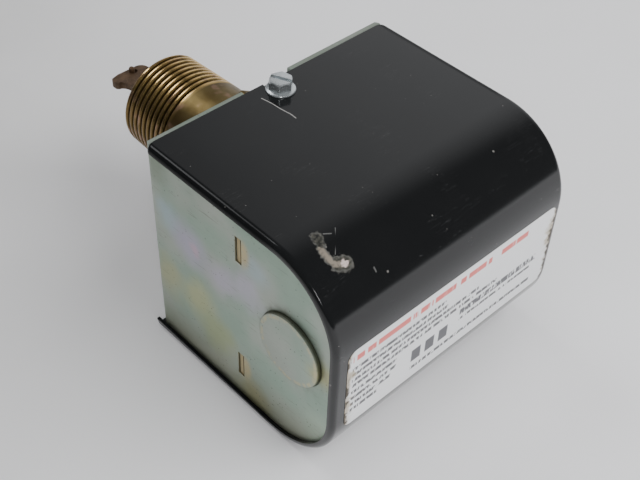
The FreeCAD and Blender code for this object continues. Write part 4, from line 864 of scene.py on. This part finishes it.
bronze = Finish("bronze")
crust = bronze.noise(2.4, 5, shift=(1, 0, 4))
tone = bronze.mix(crust.rise(0.35, 0.65), (0.080, 0.049, 0.028), (0.135, 0.083, 0.048))
tone = bronze.mix(bronze.noise(0.8, 3, shift=(5, 5, 1)).rise(0.55, 0.75) * 0.4, tone,
                  (0.28, 0.17, 0.10))
bronze_metal = bronze.surface(Base_Color=tone, Metallic=0.45, Roughness=0.42 + crust * 0.25,
                              Normal=bronze.bump(bronze.noise(0.7, 4), 0.05))
lever_mesh = eased("paddle_lever", 0.45, 3)
for vert in lever_mesh.verts:
    at = vert.co / MM
    if at.y > STEM_FROM:
        at.z *= STEM_THIN
        if at.x < SIDE_X:
            at.x += SIDE_IN
        if at.x < HOOK_X and at.y < HOOK_END:
            at.y += (HOOK_CUT * min(1.0, (HOOK_X - at.x) / HOOK_RUN)
                     * min(1.0, max(0.0, (at.y - HOOK_Y) / HOOK_SOFT)))
        vert.co = at * MM
paddle_lever = piece_from(lever_mesh, "paddle_lever_finished", bronze_metal)
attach(paddle_lever, "lever")
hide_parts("paddle_lever")
pin_mesh = eased("paddle_locator", 0.1)
PIN_FROM, PIN_LOW, PIN_SLIM = 1.0, 0.66, 0.8   # it is lower above this height, and slimmer
for vert in pin_mesh.verts:
    at = vert.co / MM
    if at.z > PIN_FROM:
        at.z = PIN_FROM + (at.z - PIN_FROM) * PIN_LOW
    vert.co = Vector((0.1 + (at.x - 0.8) * PIN_SLIM, 67.3 + (at.y - 67.2) * PIN_SLIM, at.z)) * MM
locator = piece_from(pin_mesh, "paddle_locator_finished", bronze_metal)
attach(locator, "lever")
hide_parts("paddle_locator")

bellows_brass = plated("bellows_brass", (0.62, 0.47, 0.22), 0.24)
dress("bellows_collar", "lever", bellows_brass, 0.15)
bellows = piece_from(eased("bellows", 0.15), "bellows_round", bellows_brass)
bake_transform(bellows)
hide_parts("bellows")

# ---------------------------------------------------------------- snap switch and insulation
# Brown phenolic moulding with brass terminals and a nylon plunger; grey fibre sheet folds
# round its back and top.


def moulded(name, colour, rough, mottling):
    """Plastic or fibre, mottled in patches of this many millimetres."""
    plastic = Finish(name)
    tint = plastic.mix(plastic.noise(mottling, 4), colour, tuple(c * 1.45 for c in colour))
    return plastic.surface(Base_Color=tint, Roughness=rough + plastic.noise(1.1, 3) * 0.18,
                           Normal=plastic.bump(plastic.noise(0.35, 3), 0.015))


phenolic = moulded("phenolic", (0.035, 0.024, 0.018), 0.34, 2.0)
plunger_nylon = moulded("plunger_nylon", (0.45, 0.05, 0.04), 0.3, 3.0)
fibre_sheet = moulded("fibre_sheet", (0.13, 0.14, 0.155), 0.62, 1.2)
dress("snap_switch", "case", phenolic, 0.25)
dress("switch_plunger", "plunger", plunger_nylon, 0.15)
dress("switch_insulator", "case", fibre_sheet, 0.08)

# ---------------------------------------------------------------- range spring
# Closed-end compression spring of round wire between the range nut and the lever.  On the real
# switch it shortens as the nut climbs its screw; here it is one fixed shape.

spring = piece_from(eased("range_spring", 0), "range_spring_round", spring_steel, 80)
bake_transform(spring)
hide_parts("range_spring")
